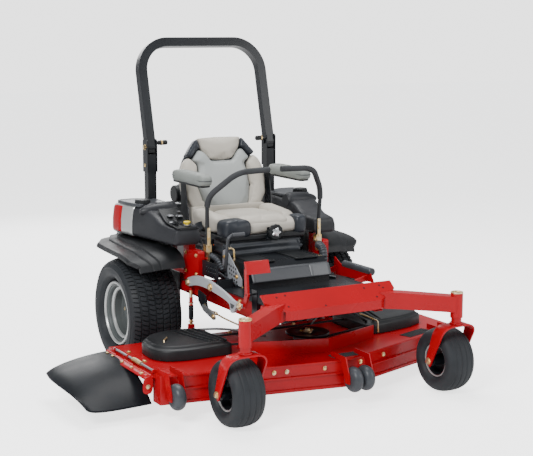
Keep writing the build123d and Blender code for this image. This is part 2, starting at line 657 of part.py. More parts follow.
# --- engine -----------------------------------------------------------------------------
engine_y = 455.0
engine_z = rail_top + cradle_t
block_half = 150.0
block_h = 190.0
shroud_r = 172.0
shroud_h = 95.0
muffler_r = 45.0
cleaner_r = 58.0
with BuildPart() as crankcase:
    block((-block_half, block_half), (engine_y - block_half, engine_y + block_half), (engine_z, engine_z + block_h))
    with Locations((0, engine_y, engine_z + block_h / 2)):
        for turn in (-45, 45):
            with Locations(Rotation(0, 0, turn)):
                Box(0.9 * block_half, 2.2 * block_half, block_h * 0.62)
    block((-rail_top, rail_top), (0, engine_y - block_half), (0, rail_top * 2), Mode.SUBTRACT)
    chamfer(crankcase.edges().group_by(Axis.Z)[-1], block_half / 10)
write("engine_block", crankcase.part)
shroud_z = engine_z + block_h
with BuildPart() as shroud:
    rod((0, engine_y, shroud_z), (0, engine_y, shroud_z + shroud_h), shroud_r)
    fillet(shroud.edges().group_by(Axis.Z)[-1], shroud_h / 3)
with BuildPart() as screen:
    rod((0, engine_y, shroud_z + shroud_h), (0, engine_y, shroud_z + shroud_h + 3 * sheet), shroud_r * 0.55)
write("engine_shroud", shroud.part, screen.part)
with BuildPart() as cleaner:
    rod((-block_half, engine_y - shroud_r * 0.2, shroud_z + shroud_h + cleaner_r + 3 * sheet),
        (block_half, engine_y - shroud_r * 0.2, shroud_z + shroud_h + cleaner_r + 3 * sheet), cleaner_r)
write("air_cleaner", cleaner.part)
with BuildPart() as muffler:
    rod((-block_half, engine_y + block_half + muffler_r * 1.4, engine_z + block_h / 2),
        (block_half, engine_y + block_half + muffler_r * 1.4, engine_z + block_h / 2), muffler_r)
with BuildPart() as pipes:
    for s in (-1, 1):
        rod((s * block_half * 0.35, engine_y, engine_z + block_h / 2),
            (s * block_half * 0.35, engine_y + 3 * block_half, engine_z + block_h / 2), muffler_r / 3)
    add(muffler.part, mode=Mode.SUBTRACT)
    add(crankcase.part, mode=Mode.SUBTRACT)
    block((-rail_top, rail_top), (engine_y + block_half + muffler_r * 1.6, guard_rear * 2), (0, rail_top * 2), Mode.SUBTRACT)
write("muffler", muffler.part, *pipes.part.solids())

# --- seat -------------------------------------------------------------------------------
boot_half = 200.0
boot_front = 408.0
boot_rear = 20.0
seat_plate_z = 712.0
plate_gap = 0.5
slider_t = 10.0
seat_pan_half = 235.0
seat_rear = 60.0
arm_in = 271.0
stay_in = arm_in - plate_gap - sheet
cushion_rear = -6.0
arm_pad_w = 70.0
arm_pad_h = 58.0
arm_front = 350.0
arm_pivot_y = 40.0
arm_pivot_z = 1035.0
arm_pin_d = 14.0
with BuildPart() as boot:
    block((-boot_half, boot_half), (-boot_front, boot_rear), (seat_floor_z, seat_plate_z))
    fillet(boot.edges().filter_by(Axis.Z), shroud_r / 4)
write("seat_boot", boot.part)
with BuildPart() as carriage:
    block((-boot_half, boot_half), (-boot_front, boot_rear), (seat_plate_z, seat_plate_z + slider_t))
write("seat_suspension", carriage.part)
pan_low = seat_plate_z + slider_t + plate_gap
with BuildPart() as pan:
    block((-seat_pan_half, seat_pan_half), (-cushion_front + 2 * sheet, seat_rear), (pan_low, cushion_z - seat_gap))
    block((-sheet, 2 * knob_d + 4 * sheet), (-cushion_front - 2 * sheet, -cushion_front - sheet), (pan_low, cushion_z + 50))
    block((-sheet, 2 * knob_d + 4 * sheet), (-cushion_front - sheet, -cushion_front + 2 * sheet), (pan_low, cushion_z - 2))
    with Locations((34, -cushion_front - 2 * sheet - 6, cushion_z + 22)):
        Cylinder(6, 12, rotation=(90, 0, 0))
stays = []
for side, s in SIDES:
    with BuildPart() as stay:
        stay_x = s * (arm_in - plate_gap)
        extrude(outline(((-40, pan_low), (seat_rear, pan_low), (arm_pivot_y + 24, arm_pivot_z + 16),
                         (arm_pivot_y - 24, arm_pivot_z + 16)), side_plane(stay_x)), amount=-s * sheet)
        block((s * seat_pan_half, stay_x), (-40, seat_rear), (pan_low, cushion_z - seat_gap))
        rod((stay_x, arm_pivot_y, arm_pivot_z), (stay_x + s * arm_pad_w * 0.8, arm_pivot_y, arm_pivot_z), arm_pin_d / 2)
    stays.append(stay.part)
write("seat_pan", pan.part, *stays)
with BuildPart() as cushion:
    block((-cushion_half, cushion_half), (-cushion_front, cushion_rear), (cushion_z, cushion_z + cushion_h))
    fillet(cushion.edges().filter_by(Axis.Z), cushion_h / 2)
    fillet(cushion.edges().group_by(Axis.Z)[-1], cushion_h / 4)
write("seat_cushion", cushion.part)
back_half = stay_in - seat_gap
tilt = Vector(0, sin(radians(recline)), cos(radians(recline)))
back_plane = facing((0, 0, back_z + 2 * sheet), (1, 0, 0), (0, -tilt.Z, tilt.Y))
with BuildPart() as backrest:
    head = 0.52 * back_half
    shape = ((-back_half, 0), (back_half, 0), (back_half, 0.28 * back_h), (0.86 * back_half, 0.7 * back_h),
             (head, back_h), (-head, back_h), (-0.86 * back_half, 0.7 * back_h), (-back_half, 0.28 * back_h))
    extrude(outline(shape, back_plane), amount=-back_t)
    fillet(backrest.edges().group_by(Axis.Z)[-1], back_t / 5)
write("seat_back", backrest.part)
for side, s in SIDES:
    with BuildPart() as rest:
        block((s * arm_in, s * (arm_in + arm_pad_w)), (-arm_front, arm_pivot_y + 14),
              (arm_pivot_z - arm_pad_h / 2, arm_pivot_z + arm_pad_h / 2))
        fillet(rest.edges().filter_by(Axis.X), arm_pad_h / 4)
        rod((0, arm_pivot_y, arm_pivot_z), (s * (arm_in + arm_pad_w * 0.85), arm_pivot_y, arm_pivot_z),
            arm_pin_d / 2 + fit_gap, Mode.SUBTRACT)
    write(f"armrest_{side}", rest.part)
with BuildPart() as seat_knob:
    with BuildSketch(front_plane(-cushion_front - 2 * sheet - 1)) as lobes:
        with Locations((34, cushion_z + 22)):
            Circle(knob_d)
            with PolarLocations(knob_d, 5):
                Circle(knob_d / 3)
    extrude(lobes.sketch, amount=knob_d)
    with Locations((34, -cushion_front - 2 * sheet, cushion_z + 22)):
        Cylinder(6 + fit_gap, 30, rotation=(90, 0, 0), mode=Mode.SUBTRACT)
write("seat_knob", seat_knob.part)

# --- hand controls ----------------------------------------------------------------------
brake_x = 270.0
brake_y = 470.0
brake_z = 560.0
brake_grip_y = 505.0
with BuildPart() as brake_foot:
    block((-brake_x - 3 * sheet, -brake_x + 3 * sheet), (-brake_y - 30, -brake_y + 30), (console_z, console_z + 12))
    block((-brake_x - 3 * sheet, -brake_x - 2 * sheet), (-brake_y - 16, -brake_y + 16), (console_z, brake_z + 16))
    rod((-brake_x - 2 * sheet, -brake_y, brake_z), (-brake_x + 2 * sheet, -brake_y, brake_z), swing_bolt_d / 2)
with BuildPart() as brake:
    rod((-brake_x - 8, -brake_y, brake_z), (-brake_x + 8, -brake_y, brake_z), 14)
    add(swept_tube(((-brake_x, -brake_y, brake_z + 8), (-brake_x, -brake_grip_y, 770), (-brake_x + 90, -brake_grip_y, 770)),
                   (30,), 9))
    rod((-brake_x + 22, -brake_grip_y, 770), (-brake_x + 94, -brake_grip_y, 770), 13)
    rod((-brake_x - 20, -brake_y, brake_z), (-brake_x + 20, -brake_y, brake_z), swing_bolt_d / 2 + fit_gap, Mode.SUBTRACT)
write("parking_brake_lever", brake.part)
pto_x = 410.0
pto_y = 303.0
stem_d = 10.0
with BuildPart() as pto:
    rod((-pto_x, -pto_y, 802.8), (-pto_x, -pto_y, 815), stem_d / 2)
    rod((-pto_x, -pto_y, 815), (-pto_x, -pto_y, 832), 19)
    fillet(pto.edges().group_by(Axis.Z)[-1], 5)
write("pto_knob", pto.part)
with BuildPart() as throttle:
    rod((-throttle_x - 2.5, *throttle_pivot), (-throttle_x + 2.5, *throttle_pivot), 9)
    rod((-throttle_x, throttle_pivot[0], throttle_pivot[1] + 4), (-throttle_x, throttle_pivot[0] - 20, 872), 2.5)
    rod((-throttle_x, throttle_pivot[0] - 20, 872), (-throttle_x, throttle_pivot[0] - 26, 886), 9)
    rod((-throttle_x - 9, *throttle_pivot), (-throttle_x + 9, *throttle_pivot), 4 + fit_gap, Mode.SUBTRACT)
write("throttle_lever", throttle.part)

# --- deck lift: shaft, foot pedal and link ----------------------------------------------
lift_arm = 103.0
lift_arm_x = 404.0
arm_t = 9.0
link_x = 420.0
link_rear = (-359.0, 514.0)
link_front = (-935.0, 497.0)
pedal_pivot = (-960.0, 555.0)
pedal_x = 405.0
bell_x = 404.0
with BuildPart() as lift:
    rod((-lift_arm_x - arm_t, lift_y, lift_z), (lift_arm_x + arm_t, lift_y, lift_z), lift_shaft_d / 2)
    for s in (-1, 1):
        rod((s * (lift_arm_x + 1), lift_y, lift_z), (s * (lift_arm_x + arm_t), lift_y, lift_z), lift_shaft_d)
        extrude(outline(((lift_y, lift_z - 16), (lift_y - lift_arm, lift_z - 12), (lift_y - lift_arm, lift_z + 12),
                         (lift_y, lift_z + 16)), side_plane(s * (lift_arm_x + 1))), amount=s * (arm_t - 1))
    extrude(outline(((lift_y, lift_z - 14), (link_rear[0], link_rear[1] - 14), (link_rear[0], link_rear[1] + 14),
                     (lift_y, lift_z + 26)), side_plane(-bell_x - 1)), amount=-(arm_t - 1))
write("lift_shaft", lift.part)
with BuildPart() as pedal_mount:
    block((-rail_outer, -pan_half), (pedal_pivot[0] - 25, pedal_pivot[0] + 25), (rail_top - foot_h, rail_top))
    block((-pan_half - sheet, -pan_half), (pedal_pivot[0] - 25, pedal_pivot[0] + 25), (rail_top - foot_h, pedal_pivot[1] + 20))
    rod((-pan_half - sheet, *pedal_pivot), (-pedal_x - 8, *pedal_pivot), swing_bolt_d / 2)
with BuildPart() as pedal:
    rod((-pedal_x - 6, *pedal_pivot), (-pedal_x + 6, *pedal_pivot), 17)
    extrude(outline(((pedal_pivot[0] - 16, pedal_pivot[1]), (link_front[0] - 12, link_front[1] - 12),
                     (link_front[0] + 12, link_front[1] - 12), (pedal_pivot[0] + 16, pedal_pivot[1])),
                    side_plane(-pedal_x - 6)), amount=12)
    extrude(outline(((pedal_pivot[0] - 14, pedal_pivot[1]), (pedal_pivot[0] + 14, pedal_pivot[1]), (-940, 680), (-962, 680)),
                    side_plane(-pedal_x - 6)), amount=12)
    extrude(outline(((-972, 656), (-950, 716), (-938, 716), (-958, 656)), side_plane(-pedal_x - 6)),
            amount=pedal_x + 6 - 280)
    rod((-pedal_x - 20, *pedal_pivot), (-pedal_x + 20, *pedal_pivot), swing_bolt_d / 2 + fit_gap, Mode.SUBTRACT)
    rod((-pedal_x, *link_front), (-link_x - 8, *link_front), swing_bolt_d / 2)
write("foot_pedal", pedal.part)
link_t = 7.0
with BuildPart() as link:
    middle = (-622.0, 535.0)
    extrude(outline(((link_front[0], link_front[1] - 12), (middle[0], middle[1] - 14), (link_rear[0], link_rear[1] - 12),
                     (link_rear[0], link_rear[1] + 12), (middle[0], middle[1] + 12), (link_front[0], link_front[1] + 12)),
                    side_plane(-link_x + link_t / 2)), amount=-link_t)
    for end in (link_front, link_rear):
        rod((-link_x + link_t / 2, *end), (-link_x - link_t / 2, *end), 13)
    rod((-link_x + 20, *link_front), (-link_x - 20, *link_front), swing_bolt_d / 2 + fit_gap, Mode.SUBTRACT)
    rod((-link_x - link_t / 2, *link_rear), (-link_x - link_t - 5, *link_rear), 9)
write("lift_link", link.part)
with BuildPart() as selector:
    block((-tower_outer + 22, -tower_outer + 27), (-600, -tower_front), (560, 640))
    with Locations((-tower_outer + 24.5, -520, 604)):
        with Locations([Location((0, 26 * (i - 2), 22 * (j - 0.5))) for i in range(5) for j in range(2)]):
            Cylinder(6.5, 20, rotation=(0, 90, 0), mode=Mode.SUBTRACT)
with BuildPart() as selector_foot:
    block((-tower_outer + 22, -rail_inner), (-600, -590), (rail_top + sheet, 560))
write("control_brackets", brake_foot.part, pedal_mount.part, selector.part, selector_foot.part)

# --- cutting deck -----------------------------------------------------------------------
outer_line = [(deck_right, -deck_rear), (deck_right, -deck_front_right), (deck_apex_x, -deck_apex),
              (deck_left, -deck_front_left), (deck_left, -deck_rear)]
spindles = (("right", deck_mid - spindle_pitch, -spindle_outer_y), ("centre", deck_mid, -spindle_centre_y),
            ("left", deck_mid + spindle_pitch, -spindle_outer_y))
opening_y = (-900.0, -420.0)
opening_top = 195.0
ridge_apex = (52.0, -985.0)
ridge_right = (-329.0, -863.0)
ridge_left = (413.0, -858.0)
spindle_d = 30.0
housing_d = 110.0
top_low = deck_top - deck_sheet
with BuildPart() as top_sheet:
    extrude(outline(outer_line, Plane.XY.offset(top_low)), amount=deck_sheet)
    for name, x, y in spindles:
        with Locations((x, y, deck_top)):
            Cylinder(housing_d / 2, 4 * deck_sheet, mode=Mode.SUBTRACT)
deck_solids = [top_sheet.part]
for start, end in zip(outer_line, outer_line[1:] + outer_line[:1]):
    a, b = Vector(*start), Vector(*end)
    with BuildPart() as skirt:
        with BuildSketch(Plane.XY.offset(deck_bottom)) as strip:
            with BuildLine():
                Polyline(*outer_line, close=True)
            make_face()
            offset(amount=-deck_sheet, kind=Kind.INTERSECTION, mode=Mode.SUBTRACT)
        extrude(strip.sketch, amount=top_low - deck_bottom)
        bound = outline([(a.X, a.Y), (b.X, b.Y), (deck_mid, -(deck_rear + deck_front_right) / 2)], Plane.XY)
        extrude(bound, amount=rops_top, mode=Mode.INTERSECT)
        if start[0] == deck_right and end[0] == deck_right:
            block((deck_right - 10, deck_right + 4 * deck_sheet), opening_y, (0, opening_top), Mode.SUBTRACT)
    deck_solids.append(skirt.part)
for end in (ridge_right, ridge_left):
    a, b = Vector(*ridge_apex), Vector(*end)
    with BuildPart() as ridge:
        along = (b - a).normalized()
        wall_plane = facing((a.X, a.Y, 0), (along.X, along.Y, 0), (along.Y, -along.X, 0))
        rear = -1 if along.X > 0 else 1
        extrude(outline(((0, deck_top), ((b - a).length, deck_top), ((b - a).length, wall_top), (0, wall_top)),
                        wall_plane), amount=rear * deck_sheet)
        block((ridge_apex[0], ridge_apex[0] - (b - a).X), (-deck_apex, 0), (0, rops_top), Mode.SUBTRACT)
    deck_solids.append(ridge.part)
write("deck_shell", *deck_solids)
housing_solids = []
shaft_r = spindle_d / 2
for name, x, y in spindles:
    with BuildPart() as housing:
        rod((x, y, top_low - 60), (x, y, deck_top + 3 * deck_sheet), housing_d / 2 - seat_gap)
        rod((x, y, top_low - 60), (x, y, deck_top + 3 * deck_sheet), shaft_r + fit_gap, Mode.SUBTRACT)
        rod((x, y, deck_top), (x, y, deck_top + 2 * deck_sheet), housing_d * 0.8)
        rod((x, y, deck_top), (x, y, deck_top + 3 * deck_sheet), shaft_r + fit_gap, Mode.SUBTRACT)
    housing_solids.append(housing.part)
write("spindle_housings", *housing_solids)
pulley_r = 75.0
pulley_z = (248.0, 272.0)
groove = 6.0
blade_w = 64.0
blade_t = 6.5
for name, x, y in spindles:
    with BuildPart() as shaft:
        rod((x, y, deck_bottom + 3), (x, y, pulley_z[1] + 6), shaft_r)
        rod((x, y, blade_z + blade_t / 2), (x, y, top_low - 60 - 1), shaft_r * 1.5)
        rod((x, y, pulley_z[0] - 12), (x, y, pulley_z[0]), shaft_r * 1.6)
        for low, high, radius in ((0, groove, pulley_r), (groove, 3 * groove, pulley_r - groove), (3 * groove, 4 * groove, pulley_r)):
            rod((x, y, pulley_z[0] + low), (x, y, pulley_z[0] + high), radius)
        block((x - blade_len / 2, x + blade_len / 2), (y - blade_w / 2, y + blade_w / 2),
              (blade_z - blade_t / 2, blade_z + blade_t / 2))
        rod((x, y, deck_bottom + 3), (x, y, blade_z), shaft_r * 1.6)
        tips = shaft.edges().filter_by(Axis.Z).filter_by(lambda edge: abs(abs(edge.center().X - x) - blade_len / 2) < 1)
        fillet(tips, blade_w / 4)
    write(f"blade_spindle_{name}", shaft.part)
with BuildPart() as belt:
    with BuildSketch(Plane.XY.offset(pulley_z[0] + groove + 1)) as band:
        for name, x, y in spindles:
            with Locations((x, y)):
                Circle(pulley_r + 2)
        make_hull()
        offset(amount=-(groove + 2 - seat_gap), mode=Mode.SUBTRACT)
    extrude(band.sketch, amount=2 * groove - 2)
write("deck_belt", belt.part)
covers = []
cover_t = 4.0
cover_top = 297.0
cover_spans = (((-800.0, -384.0), (-800.0, -403.0)), ((402.0, 850.0), (-800.0, -430.0)))
for x_span, y_span in cover_spans:
    with BuildPart() as cover:
        block(x_span, y_span, (deck_top, cover_top))
        fillet(cover.edges().filter_by(Axis.Z), housing_d / 2)
        chamfer(cover.edges().group_by(Axis.Z)[-1], cover_t * 2)
        offset(amount=-cover_t, openings=cover.faces().sort_by(Axis.Z)[0])
        with BuildSketch(Plane.XY.offset(deck_top)) as slot:
            for name, x, y in spindles:
                with Locations((x, y)):
                    Circle(pulley_r + 2 * groove)
            make_hull()
        extrude(slot.sketch, amount=pulley_z[1] - deck_top, mode=Mode.SUBTRACT)
    covers.append(cover.part)
write("belt_covers", *covers)
rod_d = 14.0
rod_x = lift_arm_x + arm_t + 2 * seat_gap + rod_d / 2
rods = []
for s in (-1, 1):
    for rod_y in (lift_y - lift_arm,):
        with BuildPart() as hanger:
            rod((s * rod_x, rod_y, cover_top - 10), (s * rod_x, rod_y, lift_z + 10), rod_d / 2)
            rod((s * rod_x, rod_y, cover_top + 50), (s * rod_x, rod_y, lift_z - 40), rod_d * 0.75)
            block((s * rod_x - rod_d, s * rod_x + rod_d), (rod_y - rod_d, rod_y + rod_d), (deck_top, cover_top - 10))
        rods.append(hanger.part)

# --- discharge deflector ----------------------------------------------------------------
hinge_x = -905.0
hinge_z = 206.0
hinge_span = (-930.0, -385.0)
hinge_r = 9.0
hinge_pin = 5.0
knuckles = 5
knuckle = (hinge_span[1] - hinge_span[0]) / knuckles
flap_t = 8.0
skirt_low = 62.0
with BuildPart() as leaf:
    block((deck_right - 2 * deck_sheet, deck_right), (hinge_span[0], hinge_span[1]), (opening_top + 2, top_low))
    for i in range(0, knuckles, 2):
        y0 = hinge_span[0] + knuckle * i
        rod((hinge_x, y0, hinge_z), (hinge_x, y0 + knuckle - 1, hinge_z), hinge_r)
        block((hinge_x, deck_right - deck_sheet), (y0, y0 + knuckle - 1), (hinge_z - deck_sheet, hinge_z + deck_sheet / 2))
    rod((hinge_x, hinge_span[0] - 12, hinge_z), (hinge_x, hinge_span[1] + 12, hinge_z), hinge_pin)


def flap_z(x):
    """The height of the deflector's underside at x: it falls away from the hinge."""
    return hinge_z - 4 - (hinge_x - x) * 0.17


with BuildPart() as flap:
    for i in range(1, knuckles, 2):
        y0 = hinge_span[0] + knuckle * i
        rod((hinge_x, y0, hinge_z), (hinge_x, y0 + knuckle - 1, hinge_z), hinge_r)
        extrude(outline(((y0, hinge_x), (y0 + knuckle - 1, hinge_x), (y0 + knuckle - 1, hinge_x - 40),
                         (y0, hinge_x - 40)), facing((0, 0, hinge_z - 3), (0, 1, 0), (0, 0, -1))), amount=4)
    shape = ((hinge_x - hinge_r - 2, flap_z(hinge_x - hinge_r)), (-deflector_reach, flap_z(-deflector_reach)),
             (-deflector_reach, flap_z(-deflector_reach) + flap_t), (hinge_x - hinge_r - 2, flap_z(hinge_x - hinge_r) + flap_t))
    extrude(outline(shape, front_plane(hinge_span[1])), amount=hinge_span[1] - hinge_span[0])
    rod((hinge_x, hinge_span[0] - 20, hinge_z), (hinge_x, hinge_span[1] + 20, hinge_z), hinge_pin + fit_gap, Mode.SUBTRACT)
    extrude(outline([(-1130, hinge_span[0] - 1), (-deflector_reach - 1, hinge_span[0] - 1), (-deflector_reach - 1, -600)],
                    Plane.XY), amount=rops_top, mode=Mode.SUBTRACT)
with BuildPart() as apron:
    extrude(outline(((hinge_x - 14, skirt_low), (-1130, skirt_low), (-1130, flap_z(-1130)),
                     (hinge_x - 14, flap_z(hinge_x - 14))), front_plane(hinge_span[0] + flap_t)), amount=flap_t)
with BuildPart() as side_apron:
    a = Vector(-1130, hinge_span[0], 0)
    b = Vector(-deflector_reach, -600, 0)
    along = (b - a).normalized()
    span = (b - a).length
    extrude(outline(((0, skirt_low), (span, skirt_low + 50), (span, flap_z(b.X)), (0, flap_z(a.X))),
                    facing(a, (along.X, along.Y, 0), (along.Y, -along.X, 0))), amount=-flap_t)
    block((-deflector_reach, -deflector_reach - 100), (-1000, 0), (0, 400), Mode.SUBTRACT)
    block((-1130, 0), (-1000, 0), (0, 400), Mode.SUBTRACT)
write("deflector", flap.part, apron.part, side_apron.part)

# --- anti-scalp rollers -----------------------------------------------------------------
roller_r = roller_d / 2
roller_low = 67.5
roller_z = roller_low + roller_r
roller_pin = 12.0
strap_end = 86.5
strap_foot = -3.5
strap_heel = -43.5
strap_nose = 18.0
strap_rise = 26.0
roller_inset_right = 49.0
roller_inset_left = 131.0
roller_off_apex = 34.0
# Each row: the roller's name, its centre across, the line that its back runs to, and its width.
roller_rows = (("front_right", deck_right + roller_inset_right, -1000.5, 62.0),
               ("front_centre", deck_apex_x + roller_off_apex, -1158.5, 130.0),
               ("front_left", deck_left - roller_inset_left, -904.5, 62.0))
arms = []
for name, x, back, width in roller_rows:
    y = back - roller_r
    with BuildPart() as roller:
        rod((x - width / 2, y, roller_z), (x + width / 2, y, roller_z), roller_r)
        rod((x - width, y, roller_z), (x + width, y, roller_z), roller_pin / 2 + fit_gap, Mode.SUBTRACT)
        fillet(roller.edges().filter_by(GeomType.CIRCLE).group_by(SortBy.LENGTH)[-1], 8)
    write(f"roller_{name}", roller.part)
    with BuildPart() as arm:
        for e in (-1, 1):
            face = x + e * (width / 2 + 1.5)
            extrude(outline(((y - strap_nose, roller_z - strap_nose), (y - strap_nose, roller_z + strap_nose),
                             (back + strap_heel, deck_top + strap_rise), (back + strap_end, deck_top + strap_rise),
                             (back + strap_end, deck_top), (back + strap_foot, deck_top),
                             (y + strap_nose, roller_z - strap_nose)), side_plane(face)), amount=e * 6)
        rod((x - width / 2 - 7.5, y, roller_z), (x + width / 2 + 7.5, y, roller_z), roller_pin / 2)
        extrude(outline(outer_line, Plane.XY), amount=deck_top, mode=Mode.SUBTRACT)
    arms.append(arm.part)
write("deck_brackets", leaf.part, *rods, *arms)
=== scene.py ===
"""A zero turn mower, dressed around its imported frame.

Every size below is in millimetres about the machine's working datum: x = 0 is the centre
plane, y = 0 the rear axle, z = 0 the ground, and the front faces -y.  `to_frame` turns such
points into the frame's metres.
"""
from __future__ import annotations

import json
import logging
import math
from dataclasses import dataclass, field
from enum import Enum
from typing import Sequence

import bmesh
import bpy
import numpy as np
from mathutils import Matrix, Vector

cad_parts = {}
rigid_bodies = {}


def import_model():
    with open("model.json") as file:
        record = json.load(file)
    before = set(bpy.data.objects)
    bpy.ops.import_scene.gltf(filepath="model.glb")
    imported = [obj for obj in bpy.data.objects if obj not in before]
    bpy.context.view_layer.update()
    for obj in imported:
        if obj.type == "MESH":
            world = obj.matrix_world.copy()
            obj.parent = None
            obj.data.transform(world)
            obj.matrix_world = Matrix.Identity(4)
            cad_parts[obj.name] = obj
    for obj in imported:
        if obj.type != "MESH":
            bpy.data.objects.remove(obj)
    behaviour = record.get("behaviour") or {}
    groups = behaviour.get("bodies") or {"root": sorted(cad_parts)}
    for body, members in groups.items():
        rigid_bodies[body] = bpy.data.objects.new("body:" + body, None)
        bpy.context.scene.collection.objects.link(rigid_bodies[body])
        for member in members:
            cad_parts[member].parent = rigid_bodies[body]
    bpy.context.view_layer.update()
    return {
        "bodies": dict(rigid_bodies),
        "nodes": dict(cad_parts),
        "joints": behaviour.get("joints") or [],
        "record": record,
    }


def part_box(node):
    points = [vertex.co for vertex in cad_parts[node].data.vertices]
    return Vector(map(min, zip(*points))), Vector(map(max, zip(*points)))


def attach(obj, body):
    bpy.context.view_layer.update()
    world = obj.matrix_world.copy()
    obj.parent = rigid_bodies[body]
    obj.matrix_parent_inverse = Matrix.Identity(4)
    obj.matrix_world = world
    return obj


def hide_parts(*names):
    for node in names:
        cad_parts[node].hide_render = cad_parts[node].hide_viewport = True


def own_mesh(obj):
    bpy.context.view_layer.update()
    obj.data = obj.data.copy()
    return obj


LOG = logging.getLogger("mower")
Array = np.ndarray
Pair = tuple[float, float]
Triple = tuple[float, float, float]

WELD = 1e-5  # metres between points that become one
SLIVER = 1e-6  # metres below which an edge is dissolved
BEVEL_FROM = 28.0  # degrees between faces whose edge a bevel rounds
COAT_ROUGHNESS = 0.08
BUMP_DEPTH = 0.0008  # metres
ROUGH_SPAN = (0.82, 1.18)  # how a finish's roughness drifts, as shares of it
PALE = (1.0, 1.0, 1.0, 1.0)


class Side(Enum):
    """A side of the machine, as the operator names it, with the sign of its x."""

    RIGHT = -1
    LEFT = 1

    @property
    def word(self) -> str:
        """The side's name as the nodes spell it."""
        return self.name.lower()


class Axis(Enum):
    """A datum axis, with the indices of the two axes that lie across it."""

    X = (0, 1, 2)
    Y = (1, 0, 2)
    Z = (2, 0, 1)


@dataclass(frozen=True)
class Grain:
    """How a surface character is laid over an object.

    Attributes:
        drift: the scale of the slow change of colour.
        fine: the scale of the bump.
        stretch: how the place is scaled first.
        cells: whether the bump is made of cells, not of noise.
    """

    drift: float
    fine: float
    stretch: Triple = (1, 1, 1)
    cells: bool = False


class Texture(Enum):
    """The surface character that a finish shows close up."""

    PAINT = Grain(3.0, 420.0)
    MOULDED = Grain(6.0, 900.0, cells=True)
    RUBBER = Grain(9.0, 260.0)
    HIDE = Grain(5.0, 520.0, cells=True)
    METAL = Grain(12.0, 300.0, (1, 0.06, 0.06))
    PLATED = Grain(30.0, 500.0)


class Datum:
    """The working datum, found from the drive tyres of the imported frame."""

    def __init__(self) -> None:
        """Reads the middle of the two drive tyres."""
        low_r, high_r = (np.array(corner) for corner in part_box("drive_tyre_right"))
        low_l, high_l = (np.array(corner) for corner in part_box("drive_tyre_left"))
        middle = (low_r + high_r + low_l + high_l) / 4
        self.origin = np.array([middle[0], middle[1], min(low_r[2], low_l[2])])

    def to_frame(self, points: Array) -> Array:
        """Turns datum millimetres into frame metres.

        Args:
            points: an array whose last axis is x, y, z.

        Returns:
            The same points in the frame, in metres.
        """
        return np.asarray(points, float) / 1000 + self.origin


# --- shapes as arrays -------------------------------------------------------------------
def unit(vectors: Array) -> Array:
    """Scales vectors on the last axis to length one."""
    return vectors / np.maximum(np.linalg.norm(vectors, axis=-1, keepdims=True), 1e-9)


def smooth_step(value: Array) -> Array:
    """The cubic 3t^2 - 2t^3 of a value held between 0 and 1."""
    t = np.clip(value, 0, 1)
    return t * t * (3 - 2 * t)


def spline(points: Sequence[Sequence[float]], steps: int = 12) -> Array:
    """A Catmull-Rom curve through points.

    Each span is p1 + (p2-p0)t/2 + (2p0-5p1+4p2-p3)t^2/2 + (3p1-p0-3p2+p3)t^3/2.

    Args:
        points: the points passed through.
        steps: samples for each span.

    Returns:
        The samples, one row each.
    """
    p = np.asarray(points, float)
    p = np.vstack([2 * p[0] - p[1], p, 2 * p[-1] - p[-2]])
    t = np.linspace(0, 1, steps, endpoint=False)[None, :, None]
    a, b, c, d = p[:-3, None], p[1:-2, None], p[2:-1, None], p[3:, None]
    spans = 0.5 * (2 * b + (c - a) * t + (2 * a - 5 * b + 4 * c - d) * t**2
                   + (3 * b - a - 3 * c + d) * t**3)
    return np.vstack([spans.reshape(-1, p.shape[1]), p[-2:-1]])


def rounded(points: Sequence[Sequence[float]], radius: float, steps: int = 5, closed: bool = True) -> Array:
    """Rounds the corners of a polyline with short parabolas.

    A corner q between a and b becomes (1-t)^2 a + 2t(1-t) q + t^2 b.

    Args:
        points: the corners.
        radius: how far from each corner its rounding starts.
        steps: samples for each corner.
        closed: whether the last corner joins the first.

    Returns:
        The rounded line.
    """
    q = np.asarray(points, float)
    before, after = np.roll(q, 1, 0), np.roll(q, -1, 0)
    reach_in = np.minimum(radius, 0.49 * np.linalg.norm(before - q, axis=1))[:, None]
    reach_out = np.minimum(radius, 0.49 * np.linalg.norm(after - q, axis=1))[:, None]
    a, b = q + unit(before - q) * reach_in, q + unit(after - q) * reach_out
    t = np.linspace(0, 1, steps)[None, :, None]
    arcs = (1 - t) ** 2 * a[:, None] + 2 * t * (1 - t) * q[:, None] + t**2 * b[:, None]
    if closed:
        return arcs.reshape(-1, q.shape[1])
    return np.vstack([q[:1], arcs[1:-1].reshape(-1, q.shape[1]), q[-1:]])


def arc_length(line: Array) -> Array:
    """How far along a line each of its points lies."""
    return np.concatenate([[0], np.cumsum(np.linalg.norm(np.diff(line, axis=0), axis=1))])


def circle(count: int) -> Array:
    """The angles of samples spread evenly round a circle."""
    return np.linspace(0, 2 * np.pi, count, endpoint=False)


def box(x0: float, x1: float, y0: float, y1: float) -> list[Pair]:
    """The corners of a rectangle."""
    return [(x0, y0), (x1, y0), (x1, y1), (x0, y1)]


def bent(corners: Sequence[Sequence[float]], radius: float, steps: int) -> Array:
    """A bar's line: its corners rounded, then a curve through the result."""
    return spline(rounded(corners, radius, steps, False), 3)


def coil(axis: Axis, span: Pair, middle: Pair, radius: float, turns: int) -> Array:
    """A spring's line: a helix along an axis with 14 points for each turn.

    Args:
        axis: the axis that it runs along.
        span: where it starts and ends on that axis.
        middle: its place on the two axes across.
        radius: its radius.
        turns: how often it turns.

    Returns:
        The points, one row each.
    """
    turn = np.linspace(0, 2 * np.pi * turns, 14 * turns)
    along, first, second = axis.value
    points = np.empty((len(turn), 3))
    points[:, along] = np.linspace(*span, len(turn))
    points[:, first] = middle[0] + radius * np.cos(turn)
    points[:, second] = middle[1] + radius * np.sin(turn)
    return points


